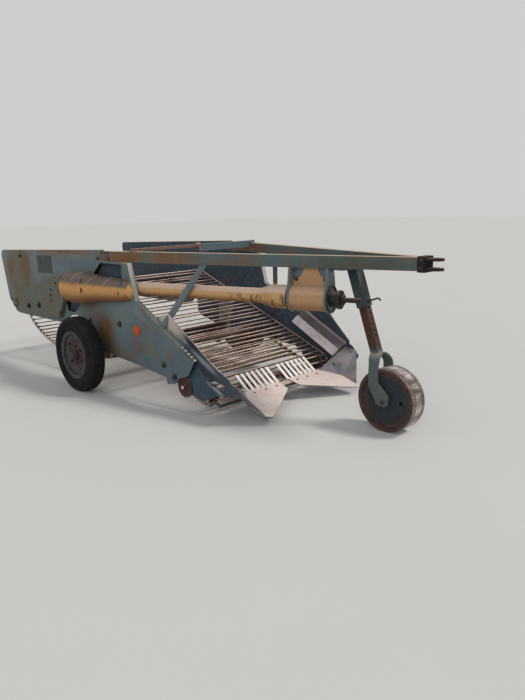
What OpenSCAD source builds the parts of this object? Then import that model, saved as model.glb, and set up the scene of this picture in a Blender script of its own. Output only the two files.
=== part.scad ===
/* [Body] */
// Width over the outer faces of the two side panels
body_w = 1492; // [1400:2:1600]
// Thickness of the pressed side sheets and wall plates
sheet_t = 4; // [3:0.5:6]
// Distance from a panel's outer face to its inner trough wall's outer face
pan_depth = 42; // [36:1:60]
// How far the panels reach behind the wheel axle
panel_rear = 1920; // [1800:10:2100]
// Height of the panels' top edge where it meets the beams' rear ends
panel_top = 1192; // [1180:1:1230]
// How much lower the top edge lies at the rear corner
panel_top_drop = 62; // [20:1:100]
// Height of the ledge on which the drawbar beams lie
ledge_z = 1100; // [1080:1:1110]
// Height of the panels' rear bottom edge
panel_bottom_rear = 487; // [470:1:500]
// Radius of the cut-out over the wheel arm
arch_r = 300; // [280:2:310]

/* [Running gear] */
// Distance between the centre planes of the two road tyres
track_w = 1898; // [1840:2:2000]
// Outer diameter of a road tyre
tyre_d = 645; // [620:5:660]
// Section width of a road tyre
tyre_w = 145; // [140:5:165]
// Diameter of the road wheel's rim over its flanges
rim_d = 412; // [390:2:430]
// Radius of the stub axle on which a road wheel turns
stub_r = 20; // [16:1:26]
// Side of the square cross tube that joins the wheel arms
axle_side = 80; // [60:2:90]
// Radial running clearance of the turning shafts
run_fit = 0.05; // [0.02:0.01:0.1]

/* [Rod web] */
// Distance from one web rod to the next
rod_pitch = 60; // [55:1:70]
// Side of a web rod's section
rod_side = 11; // [9:0.5:12]
// Gap between the web's hooked rod ends and the trough walls
web_gap = 30; // [20:1:50]
// Radius of the web's path round the front roller
front_turn_r = 80; // [74:1:90]
// Radius of the web's path round the rear drive roller
rear_turn_r = 100; // [90:1:110]
// Radius of the roller shafts
shaft_r = 17.5; // [15:0.5:22]

/* [Shares] */
// Slope of the share blades, down towards their tips
share_slope = 14.8; // [12:0.2:17]
// Thickness of a share blade
blade_t = 8; // [6:0.5:10]
// Number of fingers behind each share
finger_count = 7; // [5:1:8]
// Width of a finger
finger_w = 26; // [20:1:30]
// Slope of the fingers, up towards the web
finger_slope = 37; // [36:0.5:40]

/* [Drawbar] */
// Height of a drawbar beam's section
beam_h = 85; // [70:1:90]
// Width of a drawbar beam's section
beam_w = 60; // [50:1:70]
// Wall of the drawbar beams
beam_wall = 5; // [4:0.5:8]
// Distance of the beams' front ends ahead of the wheel axle
hitch_x = 2700; // [2600:10:2800]
// Radius of the vertical pin bore in the hitch ears
hitch_bore_r = 16.5; // [14:0.5:20]
// Half the height of the gap between the hitch ears
hitch_gap_half = 22; // [18:1:26]
// Outer diameter of the slanting struts
strut_d = 50; // [40:1:56]

/* [Drive line] */
// Height of the drive line's axis
drive_z = 890; // [880:1:900]
// Outer radius of the drive guard tube
guard_r = 53; // [46:1:58]
// Outer radius of the guard drum between the hangers
drum_r = 87; // [80:1:92]
// Radius of the input shaft
input_r = 17.5; // [15:0.5:20]
// Distance between the two hangers, along the machine
hanger_span = 266; // [240:2:290]
// Thickness of a hanger plate
hanger_t = 10; // [8:1:14]

/* [Depth wheel] */
// Outer diameter of the steel depth wheel
depth_d = 440; // [420:5:470]
// Width of the depth wheel's tread
depth_w = 150; // [130:5:170]
// Distance of the depth wheel's centre ahead of the road wheel axle
depth_x = 2500; // [2470:5:2530]
// Distance of the post's foot behind the depth wheel's centre
post_back = 120; // [112:2:132]
// Height of the post's foot above the depth wheel's centre
post_rise = 300; // [290:1:310]
// Lean of the post, its foot ahead of its head
post_lean = 19; // [16:0.5:21]
// Side of the post's outer sleeve
sleeve_side = 76; // [70:1:84]
// Side of the sliding inner post
post_side = 60; // [54:1:62]
// Clearance between the inner post and its sleeve on each side
post_fit = 1; // [0.5:0.25:1.5]

/* [Hidden] */
$fn = 48;
touch = 0.3;

// Places along the machine, counted from the wheel axle
panel_y = body_w / 2;
wall_y = panel_y - pan_depth;
ear_r = 45;
hitch_reach = 105;
front_end = hitch_x + hitch_reach + ear_r;
mid_x = (front_end - panel_rear) / 2;
axle_z = tyre_d / 2;
web_half = wall_y - sheet_t - web_gap;

// Beam line: its centre passes these two half-spreads
beam_ref_x = 285;
beam_ref_y = panel_y - 31;
beam_front_y = 16;
beam_yaw = atan((beam_ref_y - beam_front_y) / (hitch_x - beam_ref_x));
beam_rear_x = 110;
beam_top = ledge_z + beam_h;
function beam_y(x) = beam_ref_y - (x - beam_ref_x) * tan(beam_yaw);
function along(x) = (x - beam_ref_x) / cos(beam_yaw);

// Origin of the finished part: on the ground, midway along its length
module place() translate([-mid_x, 0, 0]) children();
// A piece drawn on the left side, mirrored for the right one
module on_side(left) mirror([0, left ? 0 : 1, 0]) children();
// A plate whose outer face lies at y, its outline drawn in x and z
module plate(y, t) translate([0, y, 0]) rotate([90, 0, 0]) linear_extrude(t) children();
// A round bar from p to q
module bar(p, q, r) {
  d = q - p;
  len = norm(d);
  translate(p) rotate([0, acos(d.z / len), atan2(d.y, d.x)]) rotate([0, 0, 45])
    cylinder(h = len, r = r);
}
// Frame of the beam: x along it to the front, origin on its centre line at height z
module beam_frame(z) translate([beam_ref_x, beam_ref_y, z]) rotate([0, 0, -beam_yaw]) children();

// An outline with rounded corners from rows of [x, z, radius]
function unit(v) = v / norm(v);
function turn(a, p, b, r, n) =
  let (u = unit(a - p), v = unit(b - p), half = acos(u * v) / 2,
       centre = p + unit(u + v) * r / sin(half), from = p + u * r / tan(half) - centre,
       side = sign(u.x * v.y - u.y * v.x), sweep = 180 - 2 * half)
  [for (i = [0:n]) let (w = -side * sweep * i / n)
    centre + [from.x * cos(w) - from.y * sin(w), from.x * sin(w) + from.y * cos(w)]];
function rounded(rows, n = 5) =
  [for (i = [0:len(rows) - 1])
    let (k = len(rows), p = [rows[i].x, rows[i].y], a = rows[(i + k - 1) % k], b = rows[(i + 1) % k])
    each rows[i].z > 0 ? turn([a.x, a.y], p, [b.x, b.y], rows[i].z, n) : [p]];

// The same rows moved inward by w, for an outline without notches
function inset(rows, w) =
  [for (i = [0:len(rows) - 1])
    let (k = len(rows), p = [rows[i].x, rows[i].y], a = rows[(i + k - 1) % k], b = rows[(i + 1) % k],
         u = unit([a.x, a.y] - p), v = unit([b.x, b.y] - p), half = acos(u * v) / 2,
         c = p + unit(u + v) * w / sin(half)) [c.x, c.y, rows[i].z - w]];

// Panel outline, rows of [x, z, corner radius], front top first
edge_top = [520, ledge_z - touch];
step_top = [beam_rear_x - touch, panel_top];
step_foot = [beam_rear_x - touch, edge_top.y];
knee = [604, 806];
toe = [1316, 428];
low_lobe = [968, 194];
low_front = [963, 246];
low_mid = [650, 276];
panel_rows = [
  [step_top.x, step_top.y, 0], [step_foot.x, step_foot.y, 0], [edge_top.x, edge_top.y, 0],
  [knee.x, knee.y, 0], [toe.x, toe.y, 26],
  [1236, 306, 50], [1120, 262, 0], [1070, 216, 18], [low_lobe.x, low_lobe.y, 12],
  [low_front.x, low_front.y, 0], [low_mid.x, low_mid.y, 0]];
corner_r = 62;
corner_c = [corner_r - panel_rear, panel_top - panel_top_drop - corner_r];
arch_c = [-380, 290];
arch_pts = [for (a = [7:13:137]) arch_c + arch_r * [cos(a), sin(a)]];
rear_low = [[-640, panel_bottom_rear, 0], [-1645, panel_bottom_rear - 2, 90], [-1825, 617, 60],
            [corner_c.x - corner_r, corner_c.y, 0]];
rear_corner = [for (a = [180:-18:90]) corner_c + corner_r * [cos(a), sin(a)]];
panel_pts = concat(rounded(panel_rows), arch_pts, rounded(rear_low), rear_corner);

// Folded rim that reaches inward along a run of edges; the first and last points only turn its ends
function inner_point(a, p, b) = let (u = unit(p - a), v = unit(b - p), m = [u.y, -u.x], n = [v.y, -v.x])
  p + (m + n) * sheet_t / (1 + m * n);
module rim_fold(run) {
  last = len(run) - 2;
  plate(panel_y, pan_depth - touch) polygon(concat(
    [for (i = [1:last]) run[i]],
    [for (i = [last:-1:1]) inner_point(run[i - 1], run[i], run[i + 1])]));
}
window_rows = [[-50, 962, 20], [430, 962, 12], [430, 1085, 12], [105, 1085, 60]];
// Opening between the wheel's arch and the drive housing
recess_rows = [[-556, 716, 12], [-536, 612, 12], [-400, 612, 20], [-276, 700, 12]];
// Raised band along the sloping edge
band_w = 86;
band_t = 3;
slope = unit(toe - knee);
across = [slope.y, -slope.x];
band_pts = [knee, knee + 680 * slope, knee + 560 * slope + band_w * across,
            knee - 60 * slope + band_w * across];
module panel(with_tube) color("cadetblue") {
  difference() {
    union() {
      plate(panel_y, sheet_t) polygon(panel_pts);
      plate(panel_y + band_t, sheet_t) polygon(band_pts);
      rim_fold([rear_corner[4], rear_corner[5], step_top, step_foot]);
      rim_fold([step_top, step_foot, edge_top, knee, toe - 24 * unit(toe - knee), toe]);
      rim_fold([low_lobe, low_front, low_mid, arch_pts[0], arch_pts[1]]);
    }
    for (rows = [window_rows, recess_rows]) plate(panel_y + 1, sheet_t + 2) polygon(rounded(rows));
    if (with_tube) tube_way();
    collar_way();
  }
}

// Clear way of the wheel's stub axle under the panel's edge
module collar_way() translate([0, 0, axle_z]) rotate([90, 0, 0])
  cylinder(h = 2 * body_w, r = collar_r + 6, center = true);

// Clear way of the drive tube through panel and wall
module tube_way() beam_frame(drive_z) translate([tube_from, 0, 0]) rotate([0, 90, 0])
  cylinder(h = 900, r = guard_r + 1);

// Trough wall beside the web, behind the nose
nose_x = 780;
wall_pts = rounded([
  [beam_rear_x - touch, panel_top - sheet_t, 0], [beam_rear_x - touch, ledge_z - sheet_t, 0],
  [500, ledge_z - sheet_t, 0], [596, 800, 0], [nose_x, 702, 0], [nose_x, 296, 0], [300, 300, 40],
  [140, 420, 0], [-320, 600, 0], [-1500, 520, 60], [-1760, 520, 60],
  [corner_c.x, corner_c.y + corner_r - sheet_t, 40]]);
module wall(with_tube) color("slategray") difference() {
  plate(wall_y, sheet_t) polygon(wall_pts);
  if (with_tube) tube_way();
}

// Nose plate ahead of the wall, with its apex beside the strut
apex = [975, 738];
nose_pts = rounded([
  [nose_x + touch, 690, 0], [apex.x, apex.y, 20], [1331, 508, 0], [1500, 404, 0],
  [1640, 345, 20], [1712, 268, 14], [1690, 224, 14], [1500, 192, 0], [1345, 118, 44],
  [1262, 150, 20], [1130, 196, 0], [nose_x + touch, 330, 0]]);
nose_window = rounded([[1436, 262, 8], [1590, 258, 8], [1600, 288, 8], [1450, 312, 8]]);
module nose() color("lightsteelblue") difference() {
  plate(wall_y, sheet_t) polygon(nose_pts);
  plate(wall_y + 1, sheet_t + 2) polygon(nose_window);
  strut_bar(strut_d / 2 + touch);
}

// Slanting strut: its foot stands on the panel's sloping rim, passes the nose plate and holds the beam
strut_x = 926;
rim_fall = atan2(knee.y - toe.y, toe.x - knee.x);
strut_foot = [strut_x, panel_y - pan_depth * 0.6, knee.y - (strut_x - knee.x) * tan(rim_fall)];
strut_head_x = 1150;
strut_out = 16;
strut_head = [strut_head_x, beam_y(strut_head_x) + strut_out, ledge_z];
module strut_bar(r) {
  past = 2 * strut_d * unit(strut_head - strut_foot);
  bar(strut_foot - past, strut_head + past, r);
}

// Bent steel deflector from the nose down over the web's edge
defl_slope = 27.5;
defl_len = 530;
defl_drop = 96;
defl_reach = 118;
defl_lip = 24;
defl_at = [1100, 588];
module deflector() color("silver")
  translate([defl_at.x, wall_y - sheet_t - touch, defl_at.y]) rotate([0, defl_slope, 0])
    rotate([90, 0, 90]) linear_extrude(defl_len) {
      path = [[0, defl_lip], [0, 0], [-defl_reach * 0.55, -defl_drop * 0.42], [-defl_reach, -defl_drop]];
      shift = [-sheet_t, sheet_t] * 0.7;
      polygon(concat(path, [for (i = [3:-1:0]) path[i] + shift]));
    }

// Share blade, its wing and the beam below: frame with its origin at the blade's rear edge
share_x = 1495;
share_z = 163;
blade_rows = [[0, 52, 0], [120, 70, 10], [340, 425, 0], [372, 492, 20], [338, 540, 20], [175, 545, 0],
              [0, 430, 0]];
module share_frame() translate([share_x, 0, share_z]) rotate([0, share_slope, 0]) children();
function on_blade(p) = [share_x + p.x * cos(share_slope), p.y, share_z - p.x * sin(share_slope)];
module wing(pts) hull() for (p = pts) translate(p) cube(sheet_t, center = true);
wing_top = wall_y - sheet_t * 1.5 - touch;
module share() color("gainsboro") {
  share_frame() translate([0, 0, -blade_t]) linear_extrude(blade_t) polygon(rounded(blade_rows, 3));
  fold = [on_blade([8, 430]), on_blade([175, 540]), on_blade([332, 530])];
  low = [0, 0, -3];
  rear_top = [1560, wing_top, 322];
  front_top = [1690, wing_top, 306];
  wing([fold[0] + low, fold[1] + low, front_top, rear_top]);
  wing([fold[1] + low, fold[2] + low, front_top]);
}
share_beam_w = 52;
share_beam_h = 28;
module share_beam() color("steelblue") share_frame()
  translate([0, -wall_y + sheet_t + touch, -blade_t - share_beam_h - touch])
    cube([share_beam_w, 2 * (wall_y - sheet_t - touch), share_beam_h]);

// Flat fingers behind a share
finger_first = 62;
finger_last = 384;
finger_len = 165;
finger_t = 8;
module fingers() color("whitesmoke") {
  step = (finger_last - finger_first) / (finger_count - 1);
  for (i = [0:finger_count - 1])
    translate([share_x - touch, finger_first + i * step, share_z - 1]) rotate([0, finger_slope, 0])
      translate([-finger_len, -finger_w / 2, -finger_t]) cube([finger_len, finger_w, finger_t]);
  share_frame() translate([-finger_t - touch, finger_first - finger_w / 2, -blade_t - share_beam_h])
    cube([finger_t, finger_last - finger_first + finger_w, blade_t + share_beam_h - 6]);
}

// Drawbar beam, mitred against its twin and cut flush with the panel
beam_past = 400;
module beam() color("cadetblue") intersection() {
  beam_frame(ledge_z) translate([-beam_past, -beam_w / 2, 0]) difference() {
    cube([hitch_x + beam_past, beam_w, beam_h]);
    translate([-1, beam_wall, beam_wall])
      cube([hitch_x + beam_past + 2, beam_w - 2 * beam_wall, beam_h - 2 * beam_wall]);
  }
  translate([beam_rear_x, touch / 2, 0])
    cube([hitch_x - beam_rear_x - touch, panel_y - touch / 2, 2 * ledge_z]);
}

hitch_z = ledge_z + beam_h / 2;
hitch_block = 50;
block_w = 104;
block_h = 100;
ear_t = 16;
module hitch_head() color("saddlebrown") {
  translate([hitch_x, -block_w / 2, hitch_z - block_h / 2]) cube([hitch_block, block_w, block_h]);
  for (s = [-1, 1])
    translate([hitch_x, 0, hitch_z + s * (hitch_gap_half + ear_t / 2) - ear_t / 2]) difference() {
      union() {
        translate([hitch_block - 1, -ear_r, 0]) cube([hitch_reach - hitch_block + 1, 2 * ear_r, ear_t]);
        translate([hitch_reach, 0, 0]) cylinder(h = ear_t, r = ear_r);
      }
      translate([hitch_reach, 0, -1]) cylinder(h = ear_t + 2, r = hitch_bore_r);
    }
}

module strut() color("cadetblue") difference() {
  strut_bar(strut_d / 2);
  translate([0, 0, ledge_z - touch]) cube([hitch_x, panel_y, ledge_z]);
  translate(strut_foot) rotate([0, rim_fall, 0]) translate([-300, -300, touch - 300])
    cube([600, 600, 300]);
}

// Flat bar across the beams, with a collar in its middle and a deeper plate on the left half
bar_x = 470;
bar_w = 30;
bar_h = 22;
bar_past = 20;
bar_plate_t = 6;
bar_plate_h = 60;
collar_len = 44;
module cross_bar() color("sienna") {
  half = beam_y(bar_x) + bar_past;
  reach = beam_y(bar_x + bar_w + bar_plate_t) - beam_w / 2 - bar_past;
  translate([bar_x, -half, beam_top + touch]) cube([bar_w, 2 * half, bar_h]);
  translate([bar_x + bar_w - 1, 0, beam_top + touch + bar_h - bar_plate_h])
    cube([bar_plate_t + 1, reach, bar_plate_h]);
  translate([bar_x + bar_w / 2, -collar_len / 2, beam_top + touch + bar_h / 2])
    rotate([-90, 0, 0]) cylinder(h = collar_len, r = 24);
}

// Tube that ties the two walls at the rear
tie_x = -1740;
tie_z = 1010;
tie_r = 24;
tie_wall = 5;
module rear_tie() color("cadetblue") translate([tie_x, 0, tie_z]) rotate([90, 0, 0]) difference() {
  cylinder(h = 2 * (wall_y - sheet_t - touch), r = tie_r, center = true);
  cylinder(h = 2 * wall_y, r = tie_r - tie_wall, center = true);
}

// Cross tube and arms that carry the wheels
arm_in = wall_y - sheet_t - touch;
axle_wall = 6;
module axle_tube() color("dimgray") difference() {
  translate([-axle_side / 2, -arm_in + arm_t, axle_z - axle_side / 2])
    cube([axle_side, 2 * (arm_in - arm_t), axle_side]);
  translate([-axle_side / 2 + axle_wall, -panel_y, axle_z - axle_side / 2 + axle_wall])
    cube([axle_side - 2 * axle_wall, 2 * panel_y, axle_side - 2 * axle_wall]);
}
bead = tyre_w * 0.38;
flange_t = 6;
rim_half = bead + flange_t;
stub_end = track_w / 2 + 40;
arm_t = 12;
collar_r = 34;
arm_pts = rounded([[-70, 250, 20], [70, 250, 20], [150, 560, 30], [-60, 640, 30]]);
lug_t = 14;
lug_y = (panel_y + track_w / 2 - rim_half) / 2 + lug_t / 2;
lug_pts = rounded([[-60, 380, 30], [60, 384, 44], [122, 330, 44], [112, 216, 24], [60, 222, 20],
                   [-60, 262, 30]]);
lug_pin = [112, 236];
module axle_arm() color("gray") {
  plate(arm_in, arm_t - touch) polygon(arm_pts);
  plate(lug_y, lug_t) polygon(lug_pts);
  translate([lug_pin.x - 20, lug_y - lug_t / 2, lug_pin.y]) rotate([0, 90, 0]) cylinder(h = 64, r = 6);
  translate([0, arm_in - arm_t / 2, axle_z]) rotate([-90, 0, 0]) {
    cylinder(h = stub_end - arm_in + arm_t / 2, r = stub_r);
    cylinder(h = track_w / 2 - hub_in - 6 - arm_in + arm_t / 2, r = collar_r);
  }
}

tyre_in = rim_d / 2 - 22;
hub_in = 64;
hub_out = 46;
tread_t = 18;
side_t = 10;
module tyre() color([0.1, 0.1, 0.1]) translate([0, track_w / 2, axle_z]) rotate([90, 0, 0])
  rotate_extrude($fn = 64) polygon([
    [tyre_in, -bead], [rim_d / 2 + 1, -bead], [tyre_d * 0.41, -tyre_w * 0.5],
    [tyre_d * 0.475, -tyre_w * 0.42], [tyre_d / 2, -tyre_w * 0.28], [tyre_d / 2, tyre_w * 0.28],
    [tyre_d * 0.475, tyre_w * 0.42], [tyre_d * 0.41, tyre_w * 0.5],
    [rim_d / 2 + 1, bead], [tyre_in, bead], [tyre_in, bead - side_t],
    [rim_d / 2 + 6, bead - side_t], [tyre_d * 0.41, tyre_w * 0.5 - side_t],
    [tyre_d / 2 - tread_t, tyre_w * 0.28], [tyre_d / 2 - tread_t, -tyre_w * 0.28],
    [tyre_d * 0.41, side_t - tyre_w * 0.5], [rim_d / 2 + 6, side_t - bead],
    [tyre_in, side_t - bead]]);

// Pressed rim with a dished disc and a hub, outer side away from the body
module rim() color("slategray") translate([0, track_w / 2, axle_z]) rotate([-90, 0, 0])
  difference() {
    rotate_extrude($fn = 64) polygon([
      [stub_r + run_fit, -hub_in], [46, -hub_in], [46, 8], [110, 8], [150, 30], [tyre_in - 10, 30],
      [tyre_in - 10, -bead], [rim_d / 2, -rim_half], [rim_d / 2, -bead - touch],
      [tyre_in - touch, -bead - touch], [tyre_in - touch, bead + touch],
      [rim_d / 2, bead + touch], [rim_d / 2, rim_half],
      [tyre_in - 10, bead], [tyre_in - 10, 38], [150, 38], [108, 16], [60, 16], [42, 24],
      [42, hub_out], [stub_r + run_fit, hub_out]]);
    for (i = [0:4]) rotate([0, 0, i * 72]) translate([128, 0, -80])
      cylinder(h = 200, r = 11, $fn = 24);
  }

// Path of the web's rod centres, side view, as a closed list of points
front_c = [1330, 160];
hump_c = [-320, 800];
rear_c = [-1572, 607];
sup_c = [450, 330];
hump_r = 80;
sup_turn_r = 50;
function arc(c, r, from, to, n) = [for (i = [0:n]) let (a = from + (to - from) * i / n)
  c + r * [cos(a), sin(a)]];
// Angle at which the upper common tangent of two circles touches both, b lying behind a
function over(a, ra, b, rb) = let (d = a - b) atan2(d.y, d.x) + 90 + asin((ra - rb) / norm(d));
front_up = over(front_c, front_turn_r, hump_c, hump_r);
hump_down = over(hump_c, hump_r, rear_c, rear_turn_r);
sup_down = front_c - sup_c;
cross_a = asin((sup_turn_r + front_turn_r) / norm(sup_down));
sup_out = atan2(sup_down.y, sup_down.x) + 90 - cross_a;
front_in = sup_out - 180;
leave_a = 210;
sag_start = rear_c + rear_turn_r * [cos(leave_a), sin(leave_a)];
sup_in = 112;
sag_end = sup_c + sup_turn_r * [cos(sup_in), sin(sup_in)];
sag_p1 = sag_start + 500 * [cos(leave_a + 90), sin(leave_a + 90)];
sag_p2 = sag_end - 900 * [cos(sup_in - 90), sin(sup_in - 90)];
function sag(t) = pow(1 - t, 3) * sag_start + 3 * pow(1 - t, 2) * t * sag_p1
  + 3 * (1 - t) * t * t * sag_p2 + t * t * t * sag_end;
web_path = concat(
  arc(front_c, front_turn_r, front_in, front_up, 30),
  arc(hump_c, hump_r, front_up, hump_down, 5),
  arc(rear_c, rear_turn_r, hump_down, leave_a, 20),
  [for (i = [1:16]) sag(i / 16)],
  arc(sup_c, sup_turn_r, sup_in - 15, sup_out, 3));
path_n = len(web_path);
path_len = [for (i = 0, s = 0; i <= path_n;
  s = s + norm(web_path[(i + 1) % path_n] - web_path[i % path_n]), i = i + 1) s];
loop_len = path_len[path_n];
x_table = [for (i = [0:path_n]) [path_len[i], web_path[i % path_n].x]];
z_table = [for (i = [0:path_n]) [path_len[i], web_path[i % path_n].y]];
function on_path(s) = let (w = s % loop_len) [lookup(w, x_table), lookup(w, z_table)];
rod_count = round(loop_len / rod_pitch);
rod_step = loop_len / rod_count;
hook_w = 8;
hook_gap = 0.5;
// One web rod with its two bent ends, which reach to the next rod
module web_rod(i) {
  p = on_path(i * rod_step);
  q = on_path((i + 1) * rod_step);
  d = q - p;
  e = on_path((i + 2) * rod_step) - q;
  bend = atan2(e.y, e.x) - atan2(d.y, d.x);
  h = rod_side / 2;
  reach = norm(d) - h * (cos(bend) + abs(sin(bend))) - hook_gap;
  translate([p.x, 0, p.y]) rotate([0, -atan2(d.y, d.x), 0])
    translate([0, 0, -h]) linear_extrude(rod_side) polygon([
      [-h, -web_half], [reach, -web_half], [reach, -web_half + hook_w], [h, -web_half + hook_w],
      [h, web_half - hook_w], [reach, web_half - hook_w], [reach, web_half], [-h, web_half]]);
}
module web() color("rosybrown") for (i = [0:rod_count - 1]) web_rod(i);

// Rollers that carry the web: a shaft and discs inside the rods' path
function disc_r(turn_r) = let (a = rod_step / turn_r * 90 / PI)
  turn_r - rod_side / 2 * (cos(a) + sin(a)) - touch;
module roller(c, r, discs, reach) translate([c.x, 0, c.y]) rotate([90, 0, 0]) {
  cylinder(h = 2 * reach, r = shaft_r, center = true);
  for (y = discs) translate([0, 0, y]) cylinder(h = 24, r = r, center = true);
}
disc_ys = [-600, -220, 220, 600];
module drive_roller() color("dimgray")
  roller(rear_c, disc_r(rear_turn_r), disc_ys, wall_y - sheet_t - touch);
module front_roller() color("dimgray")
  roller(front_c, disc_r(front_turn_r), disc_ys, wall_y - sheet_t - touch);
module support_rollers() color("dimgray") {
  roller(hump_c, disc_r(hump_r), disc_ys, wall_y - sheet_t - touch);
  roller(sup_c, disc_r(sup_turn_r), disc_ys, wall_y - sheet_t - touch);
}

// Rusty idler disc with its bright hub on the nose's outer face
idler_c = [1150, 200];
module idler() color("sienna") translate([idler_c.x, wall_y + touch, idler_c.y])
  rotate([-90, 0, 0]) {
    cylinder(h = 14, r = 82);
    cylinder(h = 34, r = 18);
  }

// Drive housing on the right panel: a turned casting cut flush with the panel
house_from = [-462, 826, 858];
house_to = [592, 736, 884];
house_wall = 9;
house_first = 150;
house_last = 1058;
// Rows of [radius, place along the axis]
house_rows = [[104, house_first], [128, house_first + 16], [138, 215], [138, 400], [118, 520],
              [104, 640], [98, 840], [84, 960], [66, 1030]];
module gear_housing() color("tan") intersection() {
  d = house_to - house_from;
  translate(house_from) rotate([0, acos(d.z / norm(d)), atan2(d.y, d.x)]) difference() {
    rotate_extrude() polygon(concat([[0, house_first]], house_rows, [[0, house_last]]));
    rotate_extrude() polygon(concat(
      [[0, house_first + house_wall]],
      [for (r = house_rows) [r.x - house_wall, max(r.y, house_first + house_wall)]],
      [[0, house_last - 2 * house_wall]]));
  }
  translate([-panel_rear, panel_y + touch, 0]) cube([panel_rear + hitch_x, panel_y, 2 * drive_z]);
}

// Blue case of the chain drive, from the housing back to the drive roller
case_t = 44;
case_wall = 4;
case_rows = [
  [-1590, 700, 80], [-600, 948, 40], [-505, 860, 40], [-530, 700, 60], [-640, 540, 40],
  [-1360, 500, 40], [-1650, 515, 80]];
boss_r = 48;
module chain_case() color("steelblue") {
  difference() {
    plate(panel_y + case_t, case_t - touch) polygon(rounded(case_rows));
    plate(panel_y + case_t - case_wall, case_t) polygon(rounded(inset(case_rows, case_wall)));
  }
  translate([rear_c.x, panel_y + case_t - case_wall / 2, rear_c.y]) rotate([-90, 0, 0])
    cylinder(h = 16 + case_wall / 2, r = boss_r);
}

// Places of the depth wheel's post, just behind which the drive line ends
wheel_z = depth_d / 2;
post_x = depth_x - post_back;
post_z = wheel_z + post_rise;
head_x = post_x - (ledge_z - post_z) * tan(post_lean);

// Guard tube, hangers and drum under the right beam
hang_front = head_x - 68;
hang_back = hang_front - hanger_span;
hang_s = [along(hang_back), along(hang_front)];
cone_len = 100;
cone_to = along(hang_back - 146);
cone_from = cone_to - along(hang_back) + along(hang_back - cone_len);
cone_r = drum_r - 3;
guard_wall = 6;
tube_from = -400;
hang_top = ledge_z - touch - drive_z;
stay_w = 30;
stay_t = 12;
module guard_tube() color("burlywood") {
  intersection() {
    beam_frame(drive_z) rotate([0, 90, 0]) rotate_extrude() polygon([
      [guard_r - guard_wall, tube_from], [guard_r, tube_from], [guard_r, cone_from], [cone_r, cone_to],
      [cone_r, hang_s[0] - touch], [cone_r - guard_wall, hang_s[0] - touch],
      [cone_r - guard_wall, cone_to + 2], [guard_r - guard_wall, cone_from + 2]]);
    translate([-hitch_x, -panel_y, 0]) cube([2 * hitch_x, 2 * panel_y, 2 * ledge_z]);
  }
  beam_frame(drive_z) translate([cone_to + 2, -stay_t / 2, cone_r - guard_wall / 2])
    cube([stay_w, stay_t, hang_top - cone_r + guard_wall / 2]);
}
// Drum between the hangers, with a bell-shaped hood up to the beam
drum_wall = 12;
drum_from = hang_s[0] + hanger_t + touch;
drum_len = hang_s[1] - touch - drum_from;
hood_t = 6;
hood_r = 78;
module guard_drum() color("burlywood") beam_frame(drive_z) {
  translate([drum_from, 0, 0]) rotate([0, 90, 0]) difference() {
    cylinder(h = drum_len, r = drum_r);
    translate([0, 0, -1]) cylinder(h = drum_len + 2, r = drum_r - drum_wall);
  }
  plate(hood_t / 2, hood_t) difference() {
    translate([drum_from, drum_r - drum_wall / 2]) square([drum_len, hang_top - drum_r + drum_wall / 2]);
    for (x = [0, drum_len]) translate([drum_from + x, hang_top]) circle(r = hood_r);
  }
}
// Hanger plates under the beam, each with a gusset behind the hood
hanger_top = 62;
hanger_low = 96;
hanger_rim = 14;
gusset_t = 5;
gusset_w = 96;
gusset_pts = rounded([[-1, 0, 0], [gusset_w, 0, 0], [gusset_w * 0.84, -46, 12], [50, -gusset_w * 0.9, 16],
                      [-1, -gusset_w, 0]]);
module hangers() color("cadetblue") beam_frame(drive_z) {
  for (s = hang_s) translate([s, 0, 0]) rotate([0, 90, 0]) difference() {
    union() {
      cylinder(h = hanger_t, r = drum_r + hanger_rim);
      linear_extrude(hanger_t) polygon([
        [-hang_top, -hanger_top], [-hang_top, hanger_top], [-20, hanger_low], [-20, -hanger_low]]);
    }
    translate([0, 0, -1]) cylinder(h = hanger_t + 2, r = input_r + run_fit);
  }
  for (side = [0, 1]) translate([hang_s[side] + (1 - side) * hanger_t, 0, hang_top]) mirror([side, 0, 0])
    plate(-hood_t / 2 - touch, gusset_t) polygon(gusset_pts);
}

// Coupling and splined input shaft that the tractor's shaft turns
shaft_from = hang_s[0] - 20;
shaft_end = along(hang_front + 218);
coupling_from = hang_s[1] + hanger_t + 6;
coupling_len = 52;
coupling_r = 52;
flange_len = 22;
flange_r = 64;
module input_shaft() color([0.15, 0.14, 0.14]) beam_frame(drive_z) rotate([0, 90, 0]) {
  translate([0, 0, shaft_from]) cylinder(h = shaft_end - shaft_from, r = input_r);
  translate([0, 0, coupling_from]) cylinder(h = coupling_len, r = coupling_r);
  translate([0, 0, coupling_from + coupling_len]) cylinder(h = flange_len, r = flange_r);
}

// Frame of the post: its origin at the post's foot, z up along the post
sleeve_from = 328;
sleeve_top_z = ledge_z + 60;
module post_frame() translate([post_x, 0, post_z]) rotate([0, -post_lean, 0]) children();
sleeve_len = (sleeve_top_z - post_z) / cos(post_lean) - sleeve_from;
seat_t = 10;
seat_len = 90;
seat_back = 35;
seat_half = beam_y(head_x - seat_back) + 20;
module post_sleeve() color("cadetblue") {
  difference() {
    post_frame() translate([-sleeve_side / 2, -sleeve_side / 2, sleeve_from])
      cube([sleeve_side, sleeve_side, sleeve_len]);
    post_frame() translate([-post_side / 2 - post_fit, -post_side / 2 - post_fit, sleeve_from - 1])
      cube([post_side + 2 * post_fit, post_side + 2 * post_fit, sleeve_len + 2]);
    lock_bore();
  }
  difference() {
    translate([head_x - seat_back, -seat_half, ledge_z - seat_t - touch])
      cube([seat_len, 2 * seat_half, seat_t]);
    post_frame() translate([-sleeve_side / 2 + 2, -sleeve_side / 2 + 2, 0])
      cube([sleeve_side - 4, sleeve_side - 4, 1000]);
  }
}
lock_r = 8;
lock_s = sleeve_from + 30;
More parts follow.
